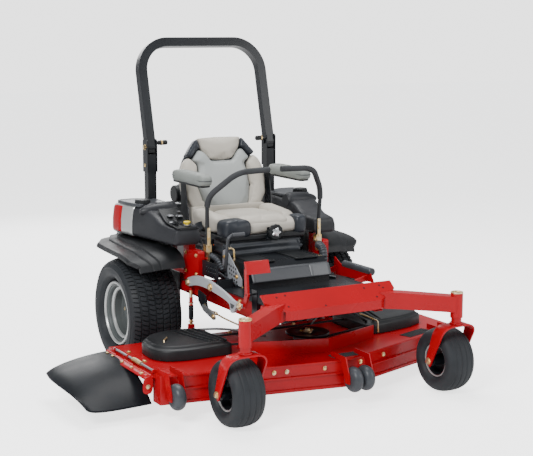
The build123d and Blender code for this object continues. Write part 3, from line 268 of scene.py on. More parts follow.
def superellipse(count: int, power: float) -> tuple[Array, Array]:
    """Samples |x|^p + |y|^p = 1 by sign(c)|c|^(2/p) for the cosine and the sine.

    Args:
        count: how many samples.
        power: p, where 2 is a circle and more is squarer.

    Returns:
        The x and y samples.
    """
    turn = circle(count)
    c, s = np.cos(turn), np.sin(turn)
    return np.sign(c) * np.abs(c) ** (2 / power), np.sign(s) * np.abs(s) ** (2 / power)


class Shell:
    """Vertices and faces gathered from several surfaces, in datum millimetres."""

    def __init__(self) -> None:
        """Starts with nothing."""
        self.verts: list[Array] = []
        self.faces: list[list[int]] = []
        self.count = 0

    def grid(self, points: Array, wrap_u: bool = False, wrap_v: bool = False,
             caps: bool = False) -> "Shell":
        """Adds a surface of quads over a grid of points.

        Args:
            points: an array of (rows, columns, 3).
            wrap_u: whether the last row joins the first.
            wrap_v: whether the last column joins the first.
            caps: whether the first and last rows are closed with one face each.

        Returns:
            This shell.
        """
        nu, nv = points.shape[:2]
        i = np.arange(nu if wrap_u else nu - 1)[:, None]
        j = np.arange(nv if wrap_v else nv - 1)[None, :]
        i2, j2 = (i + 1) % nu, (j + 1) % nv
        quads = np.stack([i * nv + j, i2 * nv + j, i2 * nv + j2, i * nv + j2], -1).reshape(-1, 4)
        self.faces += (quads + self.count).tolist()
        if caps:
            self.faces.append((self.count + np.arange(nv)).tolist())
            self.faces.append((self.count + (nu - 1) * nv + np.arange(nv)[::-1]).tolist())
        self.verts.append(points.reshape(-1, 3))
        self.count += nu * nv
        return self

    def lathe(self, profile: Sequence[Pair], centre: Triple, axis: Axis = Axis.Z, sides: int = 48,
              closed: bool = False) -> "Shell":
        """Adds a profile of (along, radius) turned about an axis through centre."""
        rows = np.asarray(profile, float)
        return self.rings(rows[:, 0], rows[:, 1:] * np.ones(sides), centre, axis, closed)

    def rings(self, along: Sequence[float], radii: Array, centre: Triple, axis: Axis,
              closed: bool = False) -> "Shell":
        """Adds rings about an axis, each with its own radius at every sample round it.

        Args:
            along: each ring's place along the axis.
            radii: the radii, (rings, samples).
            centre: the point that the axis passes through.
            axis: the axis.
            closed: whether the last ring joins the first, and not two end faces.

        Returns:
            This shell.
        """
        turn = circle(radii.shape[1])
        points = np.empty((*radii.shape, 3))
        axial, first, second = axis.value
        points[..., axial] = np.asarray(along, float)[:, None]
        points[..., first], points[..., second] = radii * np.cos(turn), radii * np.sin(turn)
        return self.grid(points + np.asarray(centre, float), wrap_u=closed, wrap_v=True, caps=not closed)

    def prism(self, outline: Sequence[Pair], low: float, high: float, axis: Axis = Axis.Z) -> "Shell":
        """Adds an outline, drawn across an axis, stretched from low to high along it."""
        flat = np.asarray(outline, float)
        points = np.empty((2, len(flat), 3))
        along, first, second = axis.value
        points[0, :, along], points[1, :, along] = low, high
        points[..., first], points[..., second] = flat[:, 0], flat[:, 1]
        return self.grid(points, wrap_v=True, caps=True)

    def block(self, x: Pair, y: Pair, z: Pair) -> "Shell":
        """Adds a box from its spans, whose edges the piece's bevel rounds."""
        return self.prism(box(*x, *y), *z)

    def sweep(self, path: Array, section: Array, wide: Triple | None = None,
              stretch: Array | None = None) -> "Shell":
        """Adds a closed section carried along a path.

        Each point of the section (a, b) becomes path + a n + b m, where t is the path's
        direction, n is across it and m = t x n.

        Args:
            path: the points of the centre line.
            section: the section's outline.
            wide: the direction of the section's first axis, if not the flat of the path.
            stretch: how much the section's first axis is stretched at each point.

        Returns:
            This shell.
        """
        line = np.asarray(path, float)
        tangent = unit(np.gradient(line, axis=0))
        across = np.linalg.svd(line - line.mean(0))[2][-1] if wide is None else np.asarray(wide, float)
        m = unit(np.cross(tangent, across))
        n = np.cross(m, tangent)
        size = np.ones(len(line)) if stretch is None else stretch
        a, b = section[None, :, :1] * size[:, None, None], section[None, :, 1:]
        points = line[:, None] + a * n[:, None] + b * m[:, None]
        return self.grid(points, wrap_v=True, caps=True)

    def tube(self, path: Array, radius: float, sides: int = 18) -> "Shell":
        """Adds a round bar along a path."""
        turn = circle(sides)
        return self.sweep(path, radius * np.stack([np.cos(turn), np.sin(turn)], -1))

    def bolt(self, at: Triple, axis: Axis, sign: int, across: float = 18, height: float = 8) -> "Shell":
        """Adds a domed hexagon head on a washer, standing on a point and facing along an axis."""
        washer = [(0, 0.72), (0.18, 0.72), (0.18, 0.6)]
        head = [(0.15, 0.55), (0.85, 0.55), (1.0, 0.42), (1.05, 0.2)]
        for profile, sides in ((washer, 20), (head, 6)):
            self.lathe([(sign * a * height, r * across) for a, r in profile], at, axis, sides)
        return self

    def terrace(self, outline: Sequence[Pair], steps: Sequence[Pair], radius: float = 20.0) -> "Shell":
        """Adds a stepped moulding: the outline drawn in by each step's inset, at each step's height.

        A step's ring is middle + (outline - middle)(1 - inset / mean reach).

        Args:
            outline: the plan's corners.
            steps: pairs of inset and height, from the foot to the top.
            radius: how far the plan's corners are rounded.

        Returns:
            This shell.
        """
        plan = rounded(outline, radius)
        middle = plan.mean(0)
        reach = np.linalg.norm(plan - middle, axis=1).mean()
        rows = np.asarray(steps, float)
        points = np.empty((len(rows), len(plan), 3))
        points[..., :2] = middle + (plan - middle)[None] * (1 - rows[:, 0] / reach)[:, None, None]
        points[..., 2] = rows[:, 1:]
        return self.grid(points, wrap_v=True, caps=True)

    @staticmethod
    def pad(outline: Array, low: float, high: float, crown: float = 4.0, rings: int = 14) -> Array:
        """A pillow over an outline: rows shrink to the middle as the height follows a superellipse.

        The ring at angle f from -90 to 90 degrees is the outline scaled by cos(f)^(2/crown)
        about its middle, at the height whose share is sin(f)^(2/3.2).

        Args:
            outline: the pillow's plan, as a closed line.
            low: the height of its lowest point.
            high: the height of its highest point.
            crown: how full the plan stays towards the top.
            rings: how many rings.

        Returns:
            The points, (rings, len(outline), 3), with the height last.
        """
        angle = np.linspace(-np.pi / 2 + 0.02, np.pi / 2 - 0.02, rings)
        shrink = np.cos(angle) ** (2 / crown)
        rise = np.sign(np.sin(angle)) * np.abs(np.sin(angle)) ** (2 / 3.2)
        middle = outline.mean(0)
        points = np.empty((rings, len(outline), 3))
        points[..., :2] = middle + (outline - middle)[None] * shrink[:, None, None]
        points[..., 2] = ((low + high) / 2 + rise * (high - low) / 2)[:, None]
        return points

    def piece(self, name: str, body: str, finish: "Finish", replaces: Sequence[str] = (),
              bevel: float = 0.0, segments: int = 2, wall: float = 0.0,
              crease: float = 35.0) -> bpy.types.Object:
        """Makes the shell into a piece of the model.

        Args:
            name: the piece's name.
            body: the body that it rides on.
            finish: its finish.
            replaces: CAD nodes that it stands for.
            bevel: the width of its rounded edges in millimetres.
            segments: how many segments each rounded edge has.
            wall: the thickness given to an open sheet, in millimetres.
            crease: the angle past which an edge stays sharp, in degrees.

        Returns:
            The new object.
        """
        mesh = bpy.data.meshes.new(name)
        mesh.from_pydata(DATUM.to_frame(np.vstack(self.verts)).tolist(), [], self.faces)
        work = bmesh.new()
        work.from_mesh(mesh)
        bmesh.ops.remove_doubles(work, verts=work.verts, dist=WELD)
        bmesh.ops.dissolve_degenerate(work, edges=work.edges, dist=SLIVER)
        bmesh.ops.recalc_face_normals(work, faces=work.faces)
        work.to_mesh(mesh)
        work.free()
        mesh.polygons.foreach_set("use_smooth", np.ones(len(mesh.polygons), bool))
        mesh.set_sharp_from_angle(angle=math.radians(crease))
        mesh.materials.append(finish.material())
        thing = bpy.data.objects.new(name, mesh)
        bpy.context.scene.collection.objects.link(thing)
        if wall:
            shell = thing.modifiers.new("wall", "SOLIDIFY")
            shell.thickness, shell.offset, shell.use_even_offset = wall / 1000, -1, True
        if bevel:
            edge = thing.modifiers.new("edge", "BEVEL")
            edge.width, edge.segments, edge.limit_method = bevel / 1000, segments, "ANGLE"
            edge.angle_limit, edge.harden_normals = math.radians(BEVEL_FROM), True
        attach(thing, body)
        if replaces:
            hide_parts(*replaces)
        LOG.info("piece %s rides on %s", name, body)
        return thing


# --- finishes ---------------------------------------------------------------------------
@dataclass(frozen=True)
class Finish:
    """A material: its colours and the character of its surface.

    Attributes:
        name: the finish's name.
        slot: the record's material slot; not used.
        colour: the main colour, linear.
        shade: the colour that it drifts to.
        rough: the roughness.
        texture: the surface character.
        metal: how metallic it is.
        coat: the weight of a clear coat.
        relief: the strength of its bump.
        gleam: the level of its plain reflection.
    """

    name: str
    slot: str
    colour: Triple
    shade: Triple
    rough: float
    texture: Texture
    metal: float = 0.0
    coat: float = 0.0
    relief: float = 0.1
    gleam: float = 0.32

    def material(self) -> bpy.types.Material:
        """Builds the material once and returns it afterwards."""
        known = bpy.data.materials.get(self.name)
        if known:
            return known
        made = bpy.data.materials.new(self.name)
        made.use_nodes = True
        tree = made.node_tree
        shader = tree.nodes["Principled BSDF"]
        shader.inputs["Metallic"].default_value = self.metal
        shader.inputs["Coat Weight"].default_value = self.coat
        shader.inputs["Coat Roughness"].default_value = COAT_ROUGHNESS
        shader.inputs["Specular IOR Level"].default_value = self.gleam
        grain = self.texture.value
        turned = tree.nodes.new("ShaderNodeMapping")
        turned.inputs["Scale"].default_value = grain.stretch
        tree.links.new(tree.nodes.new("ShaderNodeTexCoord").outputs["Object"], turned.inputs["Vector"])
        place = turned.outputs["Vector"]
        drift = pattern(tree, "ShaderNodeTexNoise", place, grain.drift, "Fac", 5.0)
        mix = tree.nodes.new("ShaderNodeMix")
        mix.data_type = "RGBA"
        mix.inputs[6].default_value = (*self.colour, 1)
        mix.inputs[7].default_value = (*self.shade, 1)
        tree.links.new(remap(tree, drift, 0.35, 0.68, 0.0, 1.0), mix.inputs[0])
        tree.links.new(mix.outputs[2], shader.inputs["Base Color"])
        low, high = self.rough * ROUGH_SPAN[0], min(1.0, self.rough * ROUGH_SPAN[1])
        tree.links.new(remap(tree, drift, 0.3, 0.7, low, high), shader.inputs["Roughness"])
        if grain.cells:
            height = pattern(tree, "ShaderNodeTexVoronoi", place, grain.fine, "Distance")
        else:
            height = pattern(tree, "ShaderNodeTexNoise", place, grain.fine, "Fac", 3.0)
        bump = tree.nodes.new("ShaderNodeBump")
        bump.inputs["Strength"].default_value = self.relief
        bump.inputs["Distance"].default_value = BUMP_DEPTH
        tree.links.new(height, bump.inputs["Height"])
        tree.links.new(bump.outputs["Normal"], shader.inputs["Normal"])
        return made


def pattern(tree: bpy.types.NodeTree, kind: str, place: bpy.types.NodeSocket, scale: float, output: str,
            detail: float | None = None) -> bpy.types.NodeSocket:
    """Adds a texture node over a place.

    Args:
        tree: the node tree.
        kind: the node's type.
        place: the coordinates.
        scale: the texture's scale.
        output: which of its outputs is wanted.
        detail: how much fine detail it has, if it takes any.

    Returns:
        The output.
    """
    node = tree.nodes.new(kind)
    node.inputs["Scale"].default_value = scale
    if detail is not None:
        node.inputs["Detail"].default_value = detail
    tree.links.new(place, node.inputs["Vector"])
    return node.outputs[output]


def remap(tree: bpy.types.NodeTree, value: bpy.types.NodeSocket, low: float, high: float, to_low: float,
          to_high: float) -> bpy.types.NodeSocket:
    """Carries a value from one span to another and returns the result."""
    span = tree.nodes.new("ShaderNodeMapRange")
    for key, number in zip(("From Min", "From Max", "To Min", "To Max"), (low, high, to_low, to_high)):
        span.inputs[key].default_value = number
    tree.links.new(value, span.inputs["Value"])
    return span.outputs["Result"]


RED = Finish("red gloss paint", "red_paint", (0.40, 0.0004, 0.0060), (0.34, 0.0003, 0.004), 0.28,
             Texture.PAINT, coat=0.07, relief=0.02, gleam=0.22)
BLACK_PAINT = Finish("black gloss paint", "black_paint", (0.005, 0.006, 0.008), (0.009, 0.011, 0.014), 0.30,
                     Texture.PAINT, coat=0.12, relief=0.03)
BLACK_PLASTIC = Finish("black moulded plastic", "black_plastic", (0.007, 0.008, 0.009),
                       (0.013, 0.014, 0.016), 0.46, Texture.MOULDED, relief=0.12)
POD_PLASTIC = Finish("charcoal moulded plastic", "grey_plastic", (0.016, 0.017, 0.020),
                     (0.026, 0.027, 0.031), 0.42, Texture.MOULDED, relief=0.10)
TYRE = Finish("tyre rubber", "tyre_rubber", (0.011, 0.013, 0.016), (0.024, 0.027, 0.031), 0.62,
              Texture.RUBBER, relief=0.25)
RIM_SILVER = Finish("silver wheel enamel", "rim_grey", (0.52, 0.53, 0.52), (0.42, 0.43, 0.43), 0.32,
                    Texture.PAINT, metal=0.55, relief=0.05)
RIM_GREY = Finish("grey wheel enamel", "rim_grey", (0.085, 0.095, 0.095), (0.060, 0.068, 0.068), 0.48,
                  Texture.PAINT, metal=0.1, relief=0.05)
ZINC = Finish("yellow zinc plate", "zinc", (0.76, 0.52, 0.20), (0.70, 0.60, 0.42), 0.33, Texture.PLATED,
              metal=0.9, relief=0.08)
STEEL = Finish("bare steel", "steel", (0.46, 0.47, 0.49), (0.34, 0.35, 0.37), 0.36, Texture.METAL,
               metal=0.85, relief=0.12)
LINK_GREY = Finish("silver link paint", "steel", (0.42, 0.44, 0.47), (0.36, 0.38, 0.41), 0.40,
                   Texture.PAINT, metal=0.25, relief=0.05)
BEIGE = Finish("warm grey hide", "seat_foam", (0.50, 0.465, 0.405), (0.45, 0.42, 0.365), 0.52, Texture.HIDE,
               relief=0.18)
BLUE_GREY = Finish("cool grey hide", "seat_foam", (0.375, 0.395, 0.388), (0.325, 0.345, 0.338), 0.50,
                   Texture.HIDE, relief=0.18)
SAGE = Finish("armrest hide", "seat_foam", (0.235, 0.25, 0.235), (0.20, 0.215, 0.20), 0.50, Texture.HIDE,
              relief=0.2)
CHARCOAL = Finish("charcoal hide", "seat_foam", (0.018, 0.021, 0.027), (0.030, 0.034, 0.042), 0.36,
                  Texture.HIDE, relief=0.2)
FOAM_GRIP = Finish("dark grip foam", "black_paint", (0.026, 0.028, 0.031), (0.042, 0.044, 0.048), 0.70,
                   Texture.RUBBER, relief=0.3)
BELLOWS = Finish("bellows sheet", "rubber", (0.034, 0.038, 0.044), (0.055, 0.061, 0.070), 0.38,
                 Texture.RUBBER, relief=0.2)
CHUTE_RUBBER = Finish("chute rubber", "rubber", (0.006, 0.007, 0.009), (0.012, 0.014, 0.017), 0.36,
                      Texture.RUBBER, relief=0.2, gleam=0.1)
KICK = Finish("kick plate paint", "black_plastic", (0.055, 0.058, 0.064), (0.075, 0.078, 0.085), 0.38,
              Texture.PAINT, metal=0.2, relief=0.05)
CAST = Finish("cast alloy", "cast", (0.24, 0.245, 0.25), (0.17, 0.175, 0.18), 0.5, Texture.RUBBER,
              metal=0.7, relief=0.3)
YELLOW = Finish("yellow knob plastic", "grey_plastic", (0.85, 0.62, 0.02), (0.80, 0.56, 0.02), 0.35,
                Texture.MOULDED, relief=0.05)
ORANGE = Finish("orange latch plastic", "black_plastic", (0.85, 0.16, 0.02), (0.78, 0.13, 0.02), 0.4,
                Texture.MOULDED, relief=0.05)
CHROME = Finish("polished cap", "black_plastic", (0.62, 0.63, 0.64), (0.5, 0.51, 0.52), 0.16, Texture.METAL,
                metal=0.95, relief=0.03)
GRIP_TAPE = Finish("grip tread", "black_plastic", (0.025, 0.025, 0.027), (0.045, 0.045, 0.048), 0.85,
                   Texture.RUBBER, relief=0.6)
BARE = Finish("blank plate", "steel", (0.12, 0.125, 0.13), (0.095, 0.10, 0.105), 0.38, Texture.PAINT,
              metal=0.1, relief=0.03)


DATUM: Datum


# --- studio -----------------------------------------------------------------------------
@dataclass(frozen=True)
class Lamp:
    """A square area light: its name, place, side in metres and power in watts."""

    name: str
    at: Triple
    size: float
    power: float


@dataclass
class Studio:
    """The camera, the lights, the sky and the pale floor.

    Attributes:
        camera_at: where the camera stands.
        heading: which way it looks in plan.
        pitch: how far it looks down, in degrees.
        lens: its focal length on a sensor 36 mm wide.
        aim: the point that each lamp faces.
        lamps: the lamps.
        sky_colour: the sky's light.
        sky_strength: how strong that light is.
        seen_strength: how bright the sky looks to the camera.
        floor_half: half the floor's side.
        floor_tone: the floor's grey.
        floor_glow: the floor's own light, for other rays and for the camera's.
    """

    camera_at: Triple = (-3204.95, -6126.02, 1822.52)
    heading: Pair = (0.4906, 0.8714)
    pitch: float = 9.061
    lens: float = 83.17
    aim: Triple = (0, -300, 500)
    lamps: tuple[Lamp, ...] = (
        Lamp("key", (-4200, -3400, 4300), 2.0, 330.0), Lamp("fill", (3600, -4200, 2600), 3.0, 100.0),
        Lamp("top", (300, 600, 4800), 2.8, 210.0), Lamp("rear", (600, 4800, 2600), 3.0, 110.0))
    sky_colour: Triple = (0.95, 0.97, 1.0)
    sky_strength: float = 0.5
    seen_strength: float = 2.6
    floor_half: float = 30000.0
    floor_tone: float = 0.93
    floor_glow: Pair = (0.2, 2.1)

    def camera(self) -> None:
        """Makes the camera."""
        camera = bpy.data.objects.new("camera", bpy.data.cameras.new("camera"))
        camera.data.lens, camera.data.sensor_width = self.lens, 36.0
        camera.data.clip_end = 200.0
        camera.location = DATUM.to_frame(self.camera_at)
        fall = math.radians(self.pitch)
        sight = Vector((self.heading[0] * math.cos(fall), self.heading[1] * math.cos(fall),
                        -math.sin(fall)))
        camera.rotation_euler = sight.to_track_quat("-Z", "Y").to_euler()
        bpy.context.scene.collection.objects.link(camera)
        bpy.context.scene.camera = camera

    def lights(self) -> None:
        """Makes the lamps, all turned to one point."""
        aim = Vector(DATUM.to_frame(self.aim))
        for lamp in self.lamps:
            light = bpy.data.lights.new(lamp.name, "AREA")
            light.shape, light.size, light.energy = "SQUARE", lamp.size, lamp.power
            thing = bpy.data.objects.new(lamp.name, light)
            thing.location = DATUM.to_frame(lamp.at)
            thing.rotation_euler = (aim - thing.location).to_track_quat("-Z", "Y").to_euler()
            bpy.context.scene.collection.objects.link(thing)

    def sky(self) -> None:
        """Makes a sky that lights softly and looks bright to the camera."""
        world = bpy.data.worlds.new("studio")
        world.use_nodes = True
        tree = world.node_tree
        soft = tree.nodes["Background"]
        soft.inputs["Color"].default_value = (*self.sky_colour, 1)
        soft.inputs["Strength"].default_value = self.sky_strength
        bright = tree.nodes.new("ShaderNodeBackground")
        bright.inputs["Color"].default_value = PALE
        bright.inputs["Strength"].default_value = self.seen_strength
        seen = tree.nodes.new("ShaderNodeLightPath")
        pick = tree.nodes.new("ShaderNodeMixShader")
        for source, target in ((seen.outputs["Is Camera Ray"], pick.inputs[0]),
                               (soft.outputs[0], pick.inputs[1]), (bright.outputs[0], pick.inputs[2]),
                               (pick.outputs[0], tree.nodes["World Output"].inputs["Surface"])):
            tree.links.new(source, target)
        bpy.context.scene.world = world

    def floor(self) -> None:
        """Makes the floor, which gives off a little light and looks pale to the camera."""
        half = self.floor_half
        corners = [(-half, -half, -1), (half, -half, -1), (half, half, -1), (-half, half, -1)]
        mesh = bpy.data.meshes.new("floor")
        mesh.from_pydata(DATUM.to_frame(corners).tolist(), [], [(0, 1, 2, 3)])
        pale = bpy.data.materials.new("pale floor")
        pale.use_nodes = True
        tree = pale.node_tree
        shader = tree.nodes["Principled BSDF"]
        shader.inputs["Base Color"].default_value = (*(self.floor_tone,) * 3, 1)
        shader.inputs["Roughness"].default_value = 0.95
        shader.inputs["Specular IOR Level"].default_value = 0.1
        shader.inputs["Emission Color"].default_value = PALE
        seen = tree.nodes.new("ShaderNodeLightPath").outputs["Is Camera Ray"]
        tree.links.new(remap(tree, seen, 0.0, 1.0, *self.floor_glow), shader.inputs["Emission Strength"])
        mesh.materials.append(pale)
        floor = bpy.data.objects.new("floor", mesh)
        bpy.context.scene.collection.objects.link(floor)

    def build(self) -> None:
        """Makes the whole studio."""
        self.camera()
        self.lights()
        self.sky()
        self.floor()


# --- wheels -----------------------------------------------------------------------------
@dataclass
class DriveWheel:
    """A turf tyre on a stepped rim with a recessed dish."""

    side: Side
    centre_x: float = 572.0
    axle_z: float = 305.0
    half_width: float = 149.0
    core: float = 235.0
    height: float = 61.0
    power: float = 2.6
    pitches: int = 72
    columns: int = 7
    tread: float = 8.5
    sweep_back: float = 0.15

    def section(self, angle: Array) -> Array:
        """The carcass line (along, radius) by |a/w|^p + |(r-c)/h|^p = 1 at angles from the crown."""
        s, c = np.sin(angle), np.cos(angle)
        along = self.half_width * np.sign(s) * np.abs(s) ** (2 / self.power)
        return np.stack([along, self.core + self.height * np.sign(c) * np.abs(c) ** (2 / self.power)], -1)

    def tyre(self) -> Shell:
        """Builds the tyre: staggered blocks raised along the carcass normal on a swept-back grid.

        The grid lines lie on the block edges. A column's grooves are half a pitch from its
        neighbour's, and every line turns back by sweep_back times its distance from the crown.

        Returns:
            The closed shell.
        """
        dense = np.radians(np.linspace(-62, 62, 400))
        line = self.section(dense)
        length = arc_length(line)
        edge = np.array([0, 0.07, 0.12, 0.5, 0.88, 0.93])
        across = np.append((np.arange(self.columns)[:, None] + edge).ravel(), self.columns) / self.columns
        crown = np.interp(across, length / length[-1], dense)
        column = np.minimum((across * self.columns).astype(int), self.columns - 1)
        inside = across * self.columns - column
        raised_v = (inside > 0.1) & (inside < 0.9)
        wall = np.radians(np.array([66, 70, 74, 78, 80, 83, 90, 100, 112, 124, 134, 142]))
        wall_rise = np.array([0, 0, 0, 0, 2.5, 0, 0, 0, 1.5, 0, 0, 0.0])
        angle = np.concatenate([-wall[::-1], crown, wall])
        profile = self.section(angle)
        step = np.gradient(profile, axis=0)
        normal = unit(np.stack([-step[:, 1], step[:, 0]], -1))
        normal *= np.sign((normal * (profile - [0, self.core])).sum(1))[:, None]
        part = np.array([0, 0.09, 0.14, 0.36, 0.41, 0.5, 0.59, 0.64, 0.86, 0.91])
        turn = (np.arange(self.pitches)[:, None] + part).ravel() / self.pitches
        cut_even = np.isin(part, (0, 0.09, 0.91))
        cut_odd = np.isin(part, (0.41, 0.5, 0.59))
        cut = np.where((column % 2 == 0)[None], np.tile(cut_even, self.pitches)[:, None],
                       np.tile(cut_odd, self.pitches)[:, None])
        rise = np.zeros((len(turn), len(angle)))
        low, high = len(wall), len(wall) + len(crown)
        rise[:, low:high] = self.tread * (raised_v[None] & ~cut)
        rise[:, :low], rise[:, high:] = wall_rise[::-1], wall_rise
        lean = self.sweep_back * np.clip(np.abs(profile[:, 0]) / self.half_width, 0, 1)
        place = profile[None] + rise[..., None] * normal[None]
        bead = np.array([[-112, 174], [-104, 166]])
        ends = np.broadcast_to(bead, (len(turn), 2, 2))
        place = np.concatenate([ends[:, ::-1], place, ends * [-1, 1]], 1)
        lean = np.concatenate([lean[:1], lean[:1], lean, lean[-1:], lean[-1:]])
        theta = 2 * np.pi * turn[:, None] + lean[None]
        x = self.side.value * (self.centre_x + place[..., 0])
        y, z = place[..., 1] * np.sin(theta), self.axle_z + place[..., 1] * np.cos(theta)
        return Shell().grid(np.stack([x, y, z], -1), wrap_u=True, wrap_v=True)

    def turned(self, profile: Sequence[Pair], sides: int = 96) -> Shell:
        """A closed profile of (outward distance, radius) turned about the axle."""
        rows = [(self.side.value * a, r) for a, r in profile]
        return Shell().lathe(rows, (self.side.value * self.centre_x, 0, self.axle_z), Axis.X, sides,
                             closed=True)

    def build(self) -> None:
        """Makes the tyre, the rim, the dish and the wheel nuts."""
        word, sign = self.side.word, self.side.value
        body = f"drive_wheel_{word}"
        self.tyre().piece(f"turf_tyre_{word}", body, TYRE, [f"drive_tyre_{word}"], crease=28)
        rim = [(-126, 168), (-123, 173), (-115, 171), (-108, 163), (-60, 152), (60, 152), (106, 160),
               (113, 171), (121, 174), (126, 170), (127, 164), (120, 160), (114, 156), (111, 148),
               (104, 144), (92, 142), (88, 136), (88, 130), (82, 127), (60, 126), (44, 122), (38, 112),
               (32, 112), (36, 128), (52, 136), (60, 142), (-60, 142), (-102, 152), (-122, 162)]
        self.turned(rim).piece(f"stepped_rim_{word}", body, RIM_GREY, [f"drive_rim_{word}"], crease=24)
        outer = [(114, 160), (114, 172.5), (121, 175), (126.5, 171), (127.6, 164), (121, 159), (117, 158)]
        inner = [(82, 145), (92, 144), (96, 140), (95, 133), (90, 127), (82, 125)]
        self.turned(outer).piece(f"rim_lip_{word}", body, RIM_SILVER, bevel=0.8)
        self.turned(inner).piece(f"rim_step_{word}", body, RIM_SILVER, bevel=0.8)
        dish = [(36, 114), (38, 104), (32, 96), (28, 84), (30, 74), (36, 66), (38, 58), (50, 52), (54, 46),
                (54, 27), (44, 27), (30, 50), (22, 84), (24, 98), (30, 114)]
        self.turned(dish).piece(f"wheel_dish_{word}", body, RIM_GREY, crease=30)
        nuts = Shell()
        for turn in np.radians(np.arange(5) * 72 + 18):
            nuts.bolt((sign * (self.centre_x + 31), 76 * math.sin(turn), self.axle_z + 76 * math.cos(turn)),
                      Axis.X, sign, 20, 14)
        nuts.piece(f"wheel_nuts_{word}", body, ZINC)


@dataclass
class Caster:
    """A front caster: its bent fork, ribbed tyre, edged rim, axle and pivot cap."""

    side: Side
    pivot_x: float = 605.0
    pivot_y: float = -1311.0
    axle: Pair = (-1225.0, 165.0)
    fork_top: float = 361.0
    leg: float = 100.0
    bar: float = 10.0

    def tyre(self) -> Shell:
        """The tyre: a superellipse section of power 2.5 with three round-bottomed grooves, turned."""
        angle = np.radians(np.linspace(-142, 142, 121))
        s, c = np.sin(angle), np.cos(angle)
        along = 82 * np.sign(s) * np.abs(s) ** 0.8
        radius = 121 + 44 * np.sign(c) * np.abs(c) ** 0.8
        groove = sum(np.exp(-(((along - at) / 2.6) ** 2)) for at in (-44.0, -15.0, 15.0, 44.0))
        radius = radius - 3.0 * groove * (radius > 140)
        profile = [(-56.0, 80.0), *zip(along, radius), (56.0, 80.0)]
        return Shell().lathe(profile, (self.side.value * self.pivot_x, *self.axle), Axis.X, 128,
                             closed=True)

    def fork(self) -> Shell:
        """The fork: a flat bar carried over the wheel, leaning back and narrowing to the axle."""
        ring = rounded([(-self.leg, 146), (-self.leg, self.fork_top), (self.leg, self.fork_top),
                        (self.leg, 146)], 62, 9, False)
        lean = (self.axle[0] - self.pivot_y) * (self.fork_top - ring[:, 1]) / (self.fork_top - self.axle[1])
        path = np.stack([self.side.value * self.pivot_x + ring[:, 0], self.pivot_y + lean, ring[:, 1]], -1)
        width = 1 - 0.42 * smooth_step((self.fork_top - path[:, 2]) / 190)
        section = rounded(box(-38, 38, -5, 5), 3, 3)
        return Shell().sweep(path, section, (0, 1, 0), width)

    def build(self) -> None:
        """Makes the pieces of the caster."""
        word, sign = self.side.word, self.side.value
        x, (axle_y, axle_z) = sign * self.pivot_x, self.axle
        body, wheel = f"caster_{word}", f"caster_wheel_{word}"
        self.fork().piece(f"bent_fork_{word}", body, RED, [f"caster_fork_{word}"])
        neck = [(367, 34), (374, 34), (376, 26), (399, 26)]
        Shell().lathe(neck, (x, self.pivot_y, 0)).piece(f"fork_neck_{word}", body, RED, bevel=1.0)
        cap = [(524.5, 31.5), (530, 31.5), (532, 30), (532, 24), (529, 22), (528, 8)]
        Shell().lathe(cap, (x, self.pivot_y, 0)).piece(f"pivot_cap_{word}", body, ZINC, bevel=0.6)
        ends = Shell().lathe([(-97, 9), (97, 9)], (x, axle_y, axle_z), Axis.X, 20)
        for out in (-1, 1):
            ends.bolt((x + out * 105, axle_y, axle_z), Axis.X, out, 26, 10)
        ends.piece(f"axle_bolt_{word}", body, ZINC)
        self.tyre().piece(f"ribbed_tyre_{word}", wheel, TYRE, [f"caster_tyre_{word}"], crease=40)
        rings = Shell()
        for out in (-1, 1):
            edge = [(out * 56, 84), (out * 60, 86.5), (out * 63, 84), (out * 61, 79), (out * 57, 78)]
            rings.lathe(edge, (x, axle_y, axle_z), Axis.X, 72, closed=True)
        rings.piece(f"rim_edges_{word}", wheel, RIM_SILVER)
        web = [(-58, 80), (58, 80), (56, 74), (14, 70), (10, 30), (86, 26), (88, 14), (-88, 14), (-86, 26),
               (-10, 30), (-14, 70), (-56, 74)]
        Shell().lathe(web, (x, axle_y, axle_z), Axis.X, 64, closed=True).piece(
            f"caster_hub_{word}", wheel, BLACK_PAINT, [f"caster_rim_{word}"], bevel=0.8)


